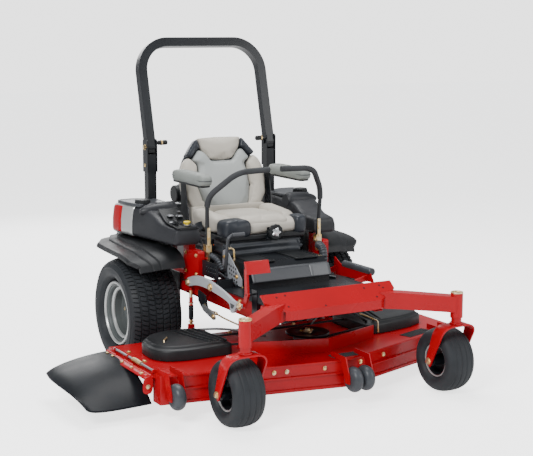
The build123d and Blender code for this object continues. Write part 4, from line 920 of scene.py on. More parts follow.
# --- operator station -------------------------------------------------------------------
@dataclass
class Upholstery:
    """Makes stuffed panels by letting a remeshed pillow swell as cloth.

    Attributes:
        voxel: the remesh size in metres.
        pressure: the air pressure.
        steps: how many frames it swells for.
    """

    voxel: float = 0.006
    pressure: float = 4.0
    steps: int = 16

    def swell(self, thing: bpy.types.Object, cap: float, fill: float) -> None:
        """A point p that moved by d ends at p + d min(1, cap / |d|).

        Args:
            thing: the pillow.
            cap: the furthest that a point may move, in metres.
            fill: how tight it is; not used.
        """
        remesh = thing.modifiers.new("remesh", "REMESH")
        remesh.mode, remesh.voxel_size, remesh.use_smooth_shade = "VOXEL", self.voxel, True
        self.apply(thing)
        start = self.read(thing.data)
        cloth = thing.modifiers.new("cloth", "CLOTH")
        cloth.settings.use_pressure = True
        cloth.settings.uniform_pressure_force = self.pressure
        cloth.settings.effector_weights.gravity = 0
        cloth.point_cache.frame_start, cloth.point_cache.frame_end = 1, self.steps
        for frame in range(1, self.steps + 1):
            bpy.context.scene.frame_set(frame)
        self.apply(thing)
        moved = self.read(thing.data) - start
        length = np.linalg.norm(moved, axis=1, keepdims=True)
        held = start + moved * np.minimum(1, cap / np.maximum(length, 1e-9))
        thing.data.vertices.foreach_set("co", held.ravel())
        thing.data.polygons.foreach_set("use_smooth", np.ones(len(thing.data.polygons), bool))
        thing.data.update()
        bpy.context.scene.frame_set(1)

    @staticmethod
    def read(mesh: bpy.types.Mesh) -> Array:
        """The mesh's points as an array."""
        flat = np.empty(len(mesh.vertices) * 3)
        mesh.vertices.foreach_get("co", flat)
        return flat.reshape(-1, 3)

    @staticmethod
    def apply(thing: bpy.types.Object) -> None:
        """Turns the modifiers' result into the object's mesh."""
        bpy.context.view_layer.update()
        result = bpy.data.meshes.new_from_object(thing.evaluated_get(bpy.context.evaluated_depsgraph_get()))
        thing.modifiers.clear()
        thing.data = result


@dataclass
class Seat:
    """The suspension seat: a panelled back, a winged cushion, armrests, knob and bellows."""

    foot: Triple = (0.0, 0.0, 845.0)
    lean: float = 15.0
    maker: Upholstery = field(default_factory=Upholstery)

    def stuffed(self, name: str, corners: Sequence[Pair], span: Pair, finish: Finish, on_back: bool,
                body: str = "seat", replaces: Sequence[str] = (), crown: float = 5.0, radius: float = 22.0,
                cap: float = 0.010, tilt: float = 0.0) -> bpy.types.Object:
        """Makes one stuffed panel.

        Args:
            name: the panel's name.
            corners: its outline, in the back's plane or in plan.
            span: how low and high it stands over that plane, or its heights.
            finish: its hide.
            on_back: whether the outline lies in the back's plane.
            body: the body that it rides on.
            replaces: CAD nodes that it stands for.
            crown: how full its outline stays.
            radius: how far its corners are rounded.
            cap: how far it may swell, in metres.
            tilt: how much it rises for each millimetre towards the rear.

        Returns:
            The panel.
        """
        grid = Shell.pad(rounded(corners, radius, 6), *span, crown)
        if on_back:
            rise, turn = math.radians(self.lean), np.array(grid)
            wide, up = np.array([1, 0, 0]), np.array([0, math.sin(rise), math.cos(rise)])
            out = np.array([0, -math.cos(rise), math.sin(rise)])
            grid = np.array(self.foot) + turn[..., :1] * wide + turn[..., 1:2] * up + turn[..., 2:] * out
        else:
            share = (grid[..., 2] - span[0]) / (span[1] - span[0])
            grid[..., 2] += tilt * share * (grid[..., 1] - grid[..., 1].mean())
        thing = Shell().grid(grid, wrap_v=True, caps=True).piece(name, body, finish, replaces, crease=80)
        self.maker.swell(thing, cap, 0.75)
        return thing

    def back(self) -> None:
        """Makes the back: a shell, a cool centre panel, a warm top panel, bolsters and shoulders."""
        shell = [(-150, -26), (-215, 10), (-258, 90), (-258, 215), (-225, 290), (-140, 396), (-100, 404),
                 (100, 404), (140, 396), (225, 290), (258, 215), (258, 90), (215, 10), (150, -26)]
        self.stuffed("seat_back_shell", shell, (-108, -42), CHARCOAL, True, replaces=["seat_back"],
                     cap=0.003)
        centre = [(-100, -27), (100, -27), (148, 20), (170, 120), (166, 205), (154, 250), (191, 289),
                  (148, 342), (122, 334), (72, 280), (-72, 280), (-122, 334), (-148, 342), (-191, 289),
                  (-154, 250), (-166, 205), (-170, 120), (-148, 20)]
        self.stuffed("seat_back_centre", centre, (-70, -8), BLUE_GREY, True, crown=9, radius=14)
        top = [(-138, 402), (-121, 342), (-70, 279), (70, 279), (121, 342), (138, 402)]
        self.stuffed("seat_back_top", top, (-72, -4), BEIGE, True, crown=9, radius=12)
        for side in Side:
            s = side.value
            bolster = [(s * u, v) for u, v in ((112, -27), (205, -8), (254, 62), (262, 150), (259, 215),
                                               (238, 270), (207, 298), (160, 252), (170, 205), (174, 120),
                                               (150, 22))]
            self.stuffed(f"seat_back_bolster_{side.word}", bolster, (-86, 4), BEIGE, True, crown=6,
                         radius=16, cap=0.012)
            patch = [(s * u, v) for u, v in ((140, 401), (217, 304), (193, 288), (149, 341), (126, 346))]
            self.stuffed(f"seat_back_shoulder_{side.word}", patch, (-84, -6), CHARCOAL, True, crown=9,
                         radius=8, cap=0.004)

    def cushion(self) -> None:
        """Makes the cushion: a base, a sitting panel, side wings and dark front corners."""
        base = box(-246, 246, -430, -14)
        self.stuffed("seat_cushion_base", base, (739, 824), BEIGE, False, replaces=["seat_cushion"],
                     radius=60, cap=0.006)
        sitting = [(-150, -425), (150, -425), (168, -300), (162, -60), (140, -14), (-140, -14), (-162, -60),
                   (-168, -300)]
        self.stuffed("seat_cushion_centre", sitting, (765, 834), BEIGE, False, crown=6, radius=26,
                     tilt=-0.03)
        Shell().terrace(box(-232, 232, -12, 52), [(4, 742), (0, 748), (0, 838), (4, 850), (12, 856)],
                        20).piece("seat_rear_roll", "seat", BEIGE, bevel=3.0)
        for side in Side:
            s = side.value
            wing = [(s * u, v) for u, v in ((176, -318), (240, -322), (250, -290), (252, -60), (236, -14),
                                            (176, -14), (170, -150))]
            self.stuffed(f"seat_cushion_wing_{side.word}", wing, (748, 852), BEIGE, False, crown=5,
                         radius=24, cap=0.012, tilt=0.07)
            inner = 92 if side is Side.RIGHT else 180
            corner = [(s * u, v) for u, v in ((inner, -446), (240, -446), (257, -420), (257, -332),
                                              (inner, -328))]
            self.stuffed(f"seat_cushion_corner_{side.word}", corner, (734, 836), CHARCOAL, False, crown=5,
                         radius=24)

    def armrests(self) -> None:
        """Makes each armrest: a seamed pad over a moulded tray."""
        for side in Side:
            s = side.value
            plan = box(s * 272, s * 340, -346, 46)
            self.stuffed(f"armrest_pad_{side.word}", plan, (1008, 1074), SAGE, False, f"arm_{side.word}",
                         [f"armrest_{side.word}"], crown=8, radius=30, cap=0.006)
            tray = Shell().terrace(box(s * 277, s * 335, -326, 36),
                                   [(8, 1004), (2, 1006), (0, 1010), (0, 1022), (3, 1024)], 18)
            tray.piece(f"armrest_tray_{side.word}", f"arm_{side.word}", BLACK_PLASTIC, bevel=1.2)
            seam = rounded(box(s * 271, s * 341, -347, 47), 28, 6)
            ring = np.concatenate([seam, np.full((len(seam), 1), 1041.0)], 1)
            welt = Shell().tube(np.vstack([ring, ring[:1]]), 1.6, 6)
            welt.piece(f"armrest_welt_{side.word}", f"arm_{side.word}", CHARCOAL)

    def knob(self) -> None:
        """Makes the adjuster: a fluted black knob with a polished cap of five lobes."""
        middle, turn = (36.5, -452.0, 760.0), circle(120)
        radius = 1.38 * np.array([27, 30, 33, 31, 27, 22.0])
        flute = 1 - 0.05 * np.abs(np.sin(6 * turn))[None] * np.array([0, 1, 1, 1, 0.4, 0])[:, None]
        Shell().rings((0, -2, -16, -22, -25, -25), radius[:, None] * flute, middle, Axis.Y).piece(
            "adjuster_grip", "seat_adjuster", BLACK_PLASTIC, ["seat_knob"], bevel=0.5)
        lobe = 28 * (0.82 + 0.18 * np.cos(5 * turn))[None] * np.array([1, 1, 0.86, 0.3])[:, None]
        Shell().rings((-22, -26, -28, -29.0), lobe, middle,
                      Axis.Y).piece("adjuster_cap", "seat_adjuster", CHROME, bevel=0.4)

    def bellows(self) -> None:
        """Makes the bellows: a closed sheet whose sides bulge and crease.

        A ring's reach grows by (2 + w) sin(pi v), where w adds waves in height v and round the
        ring a: 6 sin(8a + 6v) + 4 sin(19a - 9v) + 9 sin(9v + 1.6 sin 5a).
        """
        plan = rounded(box(-232, 232, -420, 22), 46, 10)
        plan = spline(np.vstack([plan, plan[:1]]), 8)[:-1]
        v = np.linspace(0, 1, 26)[:, None]
        a = circle(len(plan))[None]
        wave = 6 * np.sin(8 * a + 6 * v) + 4 * np.sin(19 * a - 9 * v)
        crease = wave + 9 * np.sin(9 * v + 1.6 * np.sin(5 * a))
        reach = (crease + 2) * np.sin(np.pi * v)
        middle = plan.mean(0)
        out = unit(plan - middle)
        points = np.empty((26, len(plan), 3))
        points[..., :2] = plan[None] + out[None] * reach[..., None]
        points[..., 2] = 641 + 70 * v + 0 * a
        sheet = Shell().grid(points, wrap_v=True, caps=True)
        thing = sheet.piece("seat_bellows", "chassis", BELLOWS, ["seat_boot"], crease=70)
        tuple(DATUM.to_frame((0, -190, 641)))
        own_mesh(thing)

    def build(self) -> None:
        """Makes the whole seat."""
        self.back()
        self.cushion()
        self.armrests()
        self.knob()
        self.bellows()


@dataclass
class SteeringLever:
    """A bent lever: a thin bar below and a thick foam grip above."""

    side: Side
    points: tuple[Triple, ...] = ((340, -404, 702), (349, -419, 967), (227, -537, 1104), (37, -525, 1107))
    bar: float = 11.0
    grip: float = 15.5
    bare: float = 215.0

    def build(self) -> None:
        """Makes the bar and the grip of one lever."""
        corners = np.array(self.points) * [self.side.value, 1, 1]
        path = bent(corners, 62, 10)
        word = self.side.word
        Shell().tube(path[:-2], self.bar).piece(f"lever_bar_{word}", f"steering_lever_{word}", BLACK_PAINT,
                                                [f"control_lever_{word}"])
        low = corners[0]
        strap = rounded([(low[0] - 9, 694), (low[0] + 9, 694), (low[0] + 9, 806), (low[0] - 9, 806)], 6)
        clip = Shell().prism(strap, low[1] - 18, low[1] - 13, Axis.Y)
        for z in (712, 752, 792):
            clip.bolt((low[0], low[1] - 18, z), Axis.Y, -1, 11, 5)
        clip.piece(f"lever_strap_{word}", f"steering_lever_{word}", ZINC, bevel=0.8)
        wrapped = path[arc_length(path) > self.bare]
        Shell().tube(wrapped, self.grip, 24).piece(f"lever_grip_{word}", f"steering_lever_{word}",
                                                   FOAM_GRIP, bevel=3.0, segments=3)


@dataclass
class Pod:
    """A side pod: its moulded body with a rolled hump, lid, cap and a pale rear panel that is a painted
    highlight, and the flare below.
    """

    side: Side
    inner: float = 354.0
    low: float = 707.0
    stations: tuple[tuple[float, float, float, float], ...] = (
        (-346, 480, 726, 770), (-340, 496, 714, 786), (-322, 506, 708, 795), (-200, 527, 707, 808),
        (-130, 540, 707, 842), (-60, 552, 707, 866), (60, 573, 707, 878), (200, 596, 707, 882),
        (262, 600, 707, 878), (286, 590, 712, 868), (299, 570, 726, 846))

    def skin(self, grow: float = 0.0, count: int = 96) -> Array:
        """The body's rings by |a|^6 + |b|^6 = 1 between the inner wall and the flared outer wall.

        The outer wall leans out by 14 b below the middle, and a shallow waist of 5 (1 - b^2)
        draws it in.

        Args:
            grow: how far the skin stands off the body.
            count: samples round a ring.

        Returns:
            The points, one row for each station.
        """
        rows = spline(self.stations, 4)
        a, b = superellipse(count, 6.5)
        outer = rows[:, 1:2] + grow
        low, high = rows[:, 2:3] - grow, rows[:, 3:4] + grow
        lean = np.clip(a, 0, 1)[None] * (-14 * np.clip(b, 0, 1)[None] - 5 * (1 - b[None] ** 2))
        x = (self.inner + outer) / 2 + a[None] * (outer - self.inner) / 2 + lean
        z = (low + high) / 2 + b[None] * (high - low) / 2
        y = np.broadcast_to(rows[:, :1], x.shape)
        return np.stack([self.side.value * x, y, z], -1)

    def flare(self) -> Shell:
        """The flare: a stepped section of (outward, down) carried along the wheel arch line."""
        line = spline([(-322, 588), (-300, 630), (-240, 664), (-140, 682), (0, 688), (140, 694), (240, 702),
                       (290, 704)], 8)
        section = np.array([(430, 0), (520, 1), (584, 0), (594, -3), (600, -12), (640, -16), (646, -20),
                            (650, -26), (690, -30), (712, -34), (722, -44), (723, -56), (718, -58),
                            (714, -48), (700, -40), (650, -34), (636, -26), (598, -22), (588, -10),
                            (430, -8)])
        tangent = unit(np.gradient(line, axis=0))
        normal = np.stack([-tangent[:, 1], tangent[:, 0]], -1)
        taper = 1 - 0.18 * smooth_step((np.abs(line[:, 0] + 16) - 210) / 100)
        x = 430 + (section[None, :, 0] - 430) * taper[:, None]
        flat = line[:, None] + section[None, :, 1:] * normal[:, None]
        points = np.stack([self.side.value * x, flat[..., 0], flat[..., 1]], -1)
        return Shell().grid(points, wrap_v=True, caps=True)

    def ends(self) -> None:
        """Makes the pale panel that wraps the pod's rear, a painted highlight of light reflected from the
        left, and its red patch.
        """
        word, skin = self.side.word, self.skin(1.6)
        count = skin.shape[1]
        outer = np.r_[count - 15:count, 0:16]
        # painted highlight: this pale silver sheet over the pod's outer rear stands for light reflected off
        # the charcoal body from the left
        Shell().grid(skin[24:-1][:, outer]).piece(f"pod_end_panel_{word}", "chassis", RIM_SILVER, wall=1.4,
                                                  crease=60)
        patch = self.skin(2.4)[27:37][:, np.r_[count - 8:count, 0:9]]
        Shell().grid(patch).piece(f"pod_end_patch_{word}", "chassis", RED, wall=0.8, crease=60)

    def hump(self) -> None:
        """Makes the rolled hump across the pod, which tapers outward."""
        s = self.side.value
        along = np.linspace(-104, 104, 27)
        reach = 47 * np.sqrt(1 - ((along + 104) / 212) ** 2.6) - 10 * (1 - smooth_step((along + 104) / 14))
        roll = [(s * a, r) for a, r in zip(along[::s].tolist(), reach[::s].tolist())]
        closed = [(roll[0][0], 4.0), *roll, (roll[-1][0], 4.0)]
        turned = Shell().lathe(closed, (s * 456, -28, 858), Axis.X, 64)
        turned.piece(f"pod_hump_{self.side.word}", "chassis", POD_PLASTIC, crease=40)

    def lid(self) -> None:
        """Makes the stepped lid and the fluted fuel cap."""
        word, s = self.side.word, self.side.value
        plan = [(s * 362, 18), (s * 548, 18), (s * 572, 150), (s * 576, 262), (s * 470, 266),
                (s * 362, 196)]
        Shell().terrace(plan, [(0, 876), (0, 887), (3, 891), (10, 893), (16, 890), (20, 890)], 26).piece(
            f"pod_lid_{word}", "chassis", KICK, bevel=1.0)
        radius = np.array([44, 44, 42, 38, 6.0])
        flute = 1 - 0.035 * (np.sin(18 * circle(144)) > 0)[None] * np.array([1, 1, 1, 0.3, 0])[:, None]
        Shell().rings((888, 892, 908, 912, 912), radius[:, None] * flute, (s * 505, 60, 0), Axis.Z).piece(
            f"fuel_cap_{word}", "chassis", BLACK_PLASTIC, bevel=0.5)

    def build(self) -> None:
        """Makes the pieces of the pod."""
        word, s = self.side.word, self.side.value
        hull = Shell().grid(self.skin(), wrap_v=True, caps=True)
        hull.piece(f"pod_body_{word}", "chassis", POD_PLASTIC, [f"fuel_tank_{word}"], crease=50)
        self.ends()
        self.hump()
        self.lid()
        self.flare().piece(f"wheel_flare_{word}", "chassis", BLACK_PLASTIC, ["fenders"], crease=32)
        width = (s * 500 - 30, s * 500 + 30)
        stay = Shell().block(width, (150, 156), (640, 700)).block(width, (60, 156), (672, 678))
        stay.piece(f"flare_stay_{word}", "chassis", RED, bevel=1.5)


@dataclass
class Controls:
    """The dash on the right pod, its cutter knob, the belt's parts, the kick plate and the skirt."""

    def dash(self) -> None:
        """Makes the dark dash skin with its dials and keys."""
        rows = np.array([(-338, 796), (-322, 803), (-205, 814), (-135, 850), (-96, 874)], float)
        line = spline(rows, 6)
        across = np.linspace(-486, -366, 14)
        dish = 4 * (1 - ((across + 426) / 60) ** 4)
        points = np.empty((len(line), len(across), 3))
        points[..., 0] = across
        points[..., 1], points[..., 2] = line[:, :1], line[:, 1:] + 4 - dish * 0.4
        Shell().grid(points).piece("dash_skin", "chassis", BLACK_PLASTIC, wall=3.0, crease=60)
        rims, faces = Shell(), Shell()
        for x, y, z, r in ((-392, -168, 838, 20), (-440, -160, 842, 17), (-468, -232, 817, 11)):
            rims.lathe([(0, r), (5, r), (6, r - 1.5), (6, r - 3), (3, r - 3.5)], (x, y, z), Axis.Z, 40,
                       closed=True)
            faces.lathe([(2, r - 3), (4, r - 3.2), (4.4, 2)], (x, y, z), Axis.Z, 40)
        rims.piece("dial_rims", "chassis", STEEL)
        faces.piece("dial_faces", "chassis", BARE)
        keys = Shell()
        for k in range(4):
            keys.block((-472 + 22 * k, -458 + 22 * k), (-262, -246), (813, 821))
        keys.block((-396, -372), (-336, -318), (802, 812))
        keys.piece("dash_keys", "chassis", KICK, bevel=1.5)

    def knobs(self) -> None:
        """Makes the yellow cutter knob and its collar."""
        knob = Shell().lathe([(804, 9), (818, 9), (820, 12), (824, 18), (829, 19), (832, 14)],
                             (-410, -303, 0), Axis.Z, 32)
        knob.terrace(box(-429, -391, -309, -297), [(1, 819), (0, 822), (0, 829), (2, 831)], 5)
        knob.piece("cutter_knob", "pto_switch", YELLOW, ["pto_knob"], bevel=1.0)
        Shell().lathe([(807, 14), (809, 16), (812, 16), (813, 12)],
                      (-410, -303, 0)).piece("cutter_knob_collar", "chassis", STEEL)

    def straps(self) -> None:
        """Makes the belt latch and the two short belt ends beside the seat."""
        for side in Side:
            s = side.value
            path = spline([(s * 246, -60, 742), (s * 262, -90, 752), (s * 264, -140, 770),
                           (s * 258, -180, 782)], 8)
            Shell().sweep(path, rounded(box(-22, 22, -1, 1), 0.8, 3), (0, 0.3, -1)).piece(
                f"belt_end_{side.word}", "seat", BELLOWS, crease=40)
        latch = Shell().terrace(box(-292, -268, -352, -312), [(2, 672), (0, 675), (0, 694), (4, 699)], 6)
        latch.piece("belt_latch", "chassis", BLACK_PLASTIC, bevel=1.0)
        button = Shell().terrace(box(-289, -271, -350, -322), [(0, 694), (0, 700), (3, 703)], 5)
        button.piece("belt_latch_button", "chassis", ORANGE, bevel=1.0)
        stalk = spline([(-280, -332, 640), (-280, -332, 655), (-280, -332, 674)], 6)
        Shell().sweep(stalk, rounded(box(-9, 9, -3, 3), 2, 3), (1, 0, 0)).piece(
            "belt_latch_stalk", "chassis", BLACK_PLASTIC)

    def console(self) -> None:
        """Makes the folded kick plate with its blank panel, the console's panels and the seat's slides."""
        x = np.linspace(-236, 236, 24)
        fold = [(-664, 616), (-680, 614), (-688, 608), (-712, 560), (-714, 552), (-708, 547)]
        line = rounded(fold, 5, 4, False)
        points = np.empty((len(line), len(x), 3))
        points[..., 0], points[..., 1], points[..., 2] = x, line[:, :1], line[:, 1:]
        Shell().grid(points).piece("kick_plate", "chassis", KICK, wall=2.5, crease=40)
        panel = Shell().grid(points[4:-4][:, 17:] + [0, -1.2, 0.6])
        panel.piece("kick_plate_panel", "chassis", BARE, wall=0.8, crease=60)
        for side in Side:
            s = side.value
            for low, high in ((-640, -420), (-400, -180)):
                end = "front" if low < -600 else "rear"
                plan = box(s * 60, s * 205, low, high)
                panel = Shell().terrace(plan, [(0, 639), (0, 643), (3, 646), (10, 646), (14, 642)], 14)
                panel.piece(f"console_panel_{side.word}_{end}", "chassis", BLACK_PLASTIC, bevel=0.8)
        slides = Shell()
        for side in Side:
            slides.block((side.value * 178 - 9, side.value * 178 + 9), (-404, 14), (722.5, 736))
        slides.piece("seat_slides", "seat", STEEL, bevel=1.5)

    def flank(self) -> None:
        """Makes the seat's moulded skirt and the ribbed canisters beside it."""
        Shell().terrace(box(-258, 258, -436, 58), [(30, 716), (6, 720), (0, 728), (0, 744), (8, 748)],
                        46).piece("seat_skirt", "seat", BLACK_PLASTIC, bevel=1.0)
        for side in Side:
            rings = [(600, 30)]
            for z in range(606, 716, 10):
                rings += [(z, 33), (z + 4, 33), (z + 5, 31.5), (z + 9, 31.5)]
            can = rings + [(722, 33), (730, 29), (733, 14), (744, 12), (746, 6)]
            Shell().lathe(can, (side.value * 296, -322, 0), Axis.Z, 40).piece(
                f"side_canister_{side.word}", "chassis", BLACK_PLASTIC, crease=40)

    def build(self) -> None:
        """Makes all the controls."""
        self.flank()
        self.dash()
        self.knobs()
        self.straps()
        self.console()


@dataclass
class Frame:
    """What is bolted to the chassis: selector plate, hoses, side roll, linkage, buffers and bolts.

    Attributes:
        hoop_pivot: where the hoop folds, seen from the side.
        lock_pin: where the hoop's pins are drawn out.
        nose_top: the upper edge of the nose's slope, seen from the side.
        nose_fall: how far the slope runs forward and down.
        boots: each ribbed boot's name, radius and route.
        lines: each hose's name, radius and route.
    """

    hoop_pivot: Pair = (223, 1182)
    lock_pin: Triple = (0, 205, 1205)
    nose_top: Pair = (-1047, 565)
    nose_fall: Pair = (93, 72)
    boots: tuple[tuple[str, float, tuple[Triple, ...]], ...] = (
        ("boot_left", 21, ((330, -432, 664), (328, -470, 652), (322, -500, 612), (330, -480, 560))),
        ("boot_right", 13, ((-330, -428, 660), (-318, -470, 640), (-300, -500, 590))))
    lines: tuple[tuple[str, float, tuple[Triple, ...]], ...] = (
        ("hose_upper", 8, ((300, -430, 600), (270, -520, 560), (262, -600, 528), (300, -660, 520))),
        ("hose_lower", 7, ((310, -430, 580), (286, -520, 540), (280, -580, 522))),
        ("hose_right", 6, ((-300, -440, 570), (-280, -520, 545), (-270, -600, 524))))

    def selector(self) -> None:
        """Makes the pierced height selector with its zinc rod and hooked handle."""
        plate = Shell().prism(rounded([(-424, 672), (-446, 690), (-474, 690), (-640, 560), (-640, 520),
                                       (-500, 520), (-424, 600)], 10), -262, -258, Axis.X)
        plate.piece("selector_plate", "chassis", LINK_GREY, bevel=0.8)
        holes = Shell()
        for row, (y0, count) in enumerate(((-460, 1), (-478, 2), (-500, 3), (-522, 4), (-546, 5),
                                           (-572, 5))):
            for k in range(count):
                at = (-262, y0 - 4 * k, 664 - 24 * row - 22 * k + 20 * (row > 2) * (row - 2))
                if 530 < at[2] < 676:
                    holes.lathe([(-0.8, 6.2), (4.8, 6.2)], at, Axis.X, 16)
        holes.piece("selector_holes", "chassis", BLACK_PAINT)
        rod = bent([(-252, -420, 676), (-252, -600, 548), (-252, -640, 500)], 12, 5)
        Shell().tube(rod, 6).piece("selector_rod", "chassis", ZINC)
        handle = bent([(-236, -512, 600), (-236, -504, 700), (-268, -496, 700)], 16, 6)
        Shell().tube(handle, 5).piece("selector_handle", "chassis", ZINC)
        pins = Shell()
        pins.bolt((-264, -586, 566), Axis.X, -1, 16, 8).bolt((-264, -448, 650), Axis.X, -1, 14, 8)
        pins.piece("selector_pins", "chassis", ZINC)

    def hoses(self) -> None:
        """Makes the ribbed boots and the hoses beside the two towers.

        A boot's radius at arc s is r + 2.2 cos(2 pi s / 13).
        """
        for name, radius, corners in self.boots:
            path = spline(corners, 26)
            tangent = unit(np.gradient(path, axis=0))
            side = unit(np.cross(tangent, [0, 0, 1.0] + 0 * tangent))
            other = np.cross(side, tangent)
            turn = circle(28)[None, :, None]
            r = radius + 2.2 * np.cos(2 * np.pi * arc_length(path) / 13)
            ring = np.cos(turn) * side[:, None] + np.sin(turn) * other[:, None]
            points = path[:, None] + r[:, None, None] * ring
            Shell().grid(points, wrap_v=True, caps=True).piece(name, "chassis", BELLOWS, crease=60)
        for name, radius, corners in self.lines:
            Shell().tube(spline(corners, 10), radius, 14).piece(name, "chassis", BELLOWS)

    def side_roll(self) -> None:
        """Makes the rubber roll beside the floor pan and its red carrier."""
        roll = [(-762, 8), (-762, 17), (-757, 21), (-490, 21), (-485, 17), (-485, 8)]
        Shell().lathe(roll, (466, 0, 551), Axis.Y, 32).piece("side_roll", "chassis", BELLOWS)
        arm = Shell().prism(rounded([(-404, 586), (-470, 550), (-768, 546), (-800, 500), (-404, 480)], 12),
                            450, 455, Axis.X)
        for y in (-740, -430):
            arm.prism(rounded([(342, 486), (451, 500), (451, 536), (342, 508)], 5), y - 4, y + 4, Axis.Y)
        arm.piece("side_roll_carrier", "chassis", RED, bevel=1.5)

    def linkage(self) -> None:
        """Makes the hanger, the bell crank and the threaded rod beside each rail."""
        for side in Side:
            s, word = side.value, side.word
            plate = [(-428, 486), (-512, 470), (-540, 402), (-504, 384), (-466, 398), (-428, 428)]
            hanger = Shell().prism(rounded(plate, 10), *sorted((s * 404, s * 411)), Axis.X)
            hanger.piece(f"lift_hanger_{word}", "chassis", BLACK_PAINT, bevel=1.0)
            crank = rounded([(-496, 424), (-620, 402), (-648, 374), (-628, 360), (-500, 392)], 12)
            Shell().prism(crank, *sorted((s * 414, s * 422)),
                          Axis.X).piece(f"lift_crank_{word}", "chassis", CAST, bevel=1.2)
            rod = Shell().tube(spline([(s * 398, -520, 398), (s * 396, -700, 384), (s * 388, -880, 378)],
                                      8), 4.5, 14)
            rod.bolt((s * 411, -508, 408), Axis.X, s, 22, 9).bolt((s * 422, -628, 382), Axis.X, s, 18, 8)
            rod.lathe([(-16, 7), (-14, 9), (14, 9), (16, 7)], (s * 397, -600, 391), Axis.Y, 20)
            rod.piece(f"lift_rod_{word}", "chassis", ZINC)

    def buffers(self) -> None:
        """Makes the round-ended buffer below each end of the hoop, turned about the pivot."""
        turn = np.radians(np.linspace(-38, 38, 15))
        y, z = self.hoop_pivot
        arc = [(y + 39 * math.sin(a), z - 39 * math.cos(a)) for a in turn.tolist()]
        for side in Side:
            middle = side.value * 383
            Shell().prism([(y - 24, z - 12), *arc, (y + 24, z - 12)], middle - 20, middle + 20,
                          Axis.X).piece(f"hoop_buffer_{side.word}", "roll_hoop", BLACK_PLASTIC, bevel=0.8)

    def bolts(self) -> None:
        """Makes the bolts of the frame, the nose's screw holes and the roll bar's hardware."""
        zinc = Shell()
        for side in Side:
            s = side.value
            for y, z in ((-392, 660), (-270, 660), (-392, 560), (-270, 560)):
                zinc.bolt((s * 402, y, z), Axis.X, s, 15, 7)
            for y in (-980, -760, -560, 520):
                zinc.bolt((s * 340, y, 478), Axis.X, s, 16, 7)
            zinc.bolt((s * 409, self.hoop_pivot[0], 1080), Axis.X, s, 20, 9)
            zinc.bolt((s * 414, *self.hoop_pivot), Axis.X, s, 24, 11)
        zinc.piece("frame_bolts", "chassis", ZINC)
        dots = Shell()
        slope = math.atan2(self.nose_fall[1], self.nose_fall[0])
        for x, share in ((-300, 0.2), (-262, 0.75), (-250, 0.15), (-60, 0.92), (205, 0.25), (250, 0.8),
                         (300, 0.2), (315, 0.35)):
            y = self.nose_top[0] - self.nose_fall[0] * share
            z = self.nose_top[1] - self.nose_fall[1] * share
            turn = circle(16)
            ring = np.stack([x + 5 * np.cos(turn), y - 5 * np.sin(turn) * math.cos(slope) - 0.4,
                             z - 5 * np.sin(turn) * math.sin(slope) + 0.5], -1)
            dots.grid(np.stack([ring, ring + [0, 0.6, -1.2]]), wrap_v=True, caps=True)
        dots.piece("nose_holes", "chassis", BLACK_PAINT)
        for side in Side:
            s = side.value
            knob, ring = [(0, 12), (4, 14), (22, 14), (27, 11),
                          (28, 4)], [(0, 6), (0, 15), (-7, 15), (-8, 6)]
            for part, start, profile, finish in (("knob", 314, knob, BLACK_PLASTIC),
                                                 ("ring", 318, ring, ZINC)):
                profile = [(s * (start - a), r) for a, r in profile]
                Shell().lathe(profile, self.lock_pin, Axis.X, 24).piece(f"lock_pin_{part}_{side.word}",
                                                                        f"hoop_pin_{side.word}", finish)

    def build(self) -> None:
        """Makes all the frame's fittings."""
        self.selector()
        self.hoses()
        self.side_roll()
        self.linkage()
        self.buffers()
        self.bolts()


@dataclass
class Lift:
    """The arched lift link and the plated lift rods with their turnbuckles."""

    def build(self) -> None:
        """Makes the link, its pins and the sleeves on the lift rods."""
        top = spline([(-352, 538), (-460, 566), (-600, 566), (-760, 540), (-870, 512), (-944, 506)], 8)
        low = spline([(-944, 486), (-900, 484), (-872, 452), (-842, 452), (-812, 494), (-620, 518),
                      (-480, 518), (-352, 492)], 8)
        Shell().prism(rounded(np.vstack([top, low]), 3, 2), -435, -421,
                      Axis.X).piece("arched_link", "link", LINK_GREY, ["lift_link"], bevel=1.2)
        window = Shell().prism(rounded([(-886, 492), (-866, 470), (-848, 470), (-836, 496)], 5), -435.6,
                               -420.4, Axis.X)
        window.piece("arched_link_window", "link", BLACK_PAINT)
        pins = Shell()
        for y, z in ((-359, 514), (-622, 535), (-935, 497)):
            pins.bolt((-435, y, z), Axis.X, -1, 28, 12)
        pins.piece("arched_link_pins", "link", ZINC)
        for side in Side:
            x = side.value * 421
            rod = Shell().lathe([(222, 9), (300, 9)], (x, -365,
                                                       0)).lathe([(404, 9), (470, 9)], (x, -365, 0))
            rod.bolt((x, -365, 300), Axis.Z, 1, 20, 12).bolt((x, -365, 404), Axis.Z, -1, 20, 12)
            rod.piece(f"lift_rod_{side.word}", "deck", ZINC)
            Shell().lathe([(313, 9), (316, 14), (388, 14), (391, 9)], (x, -365, 0), Axis.Z, 8).piece(
                f"turnbuckle_{side.word}", "deck", BLACK_PAINT, bevel=1.0)


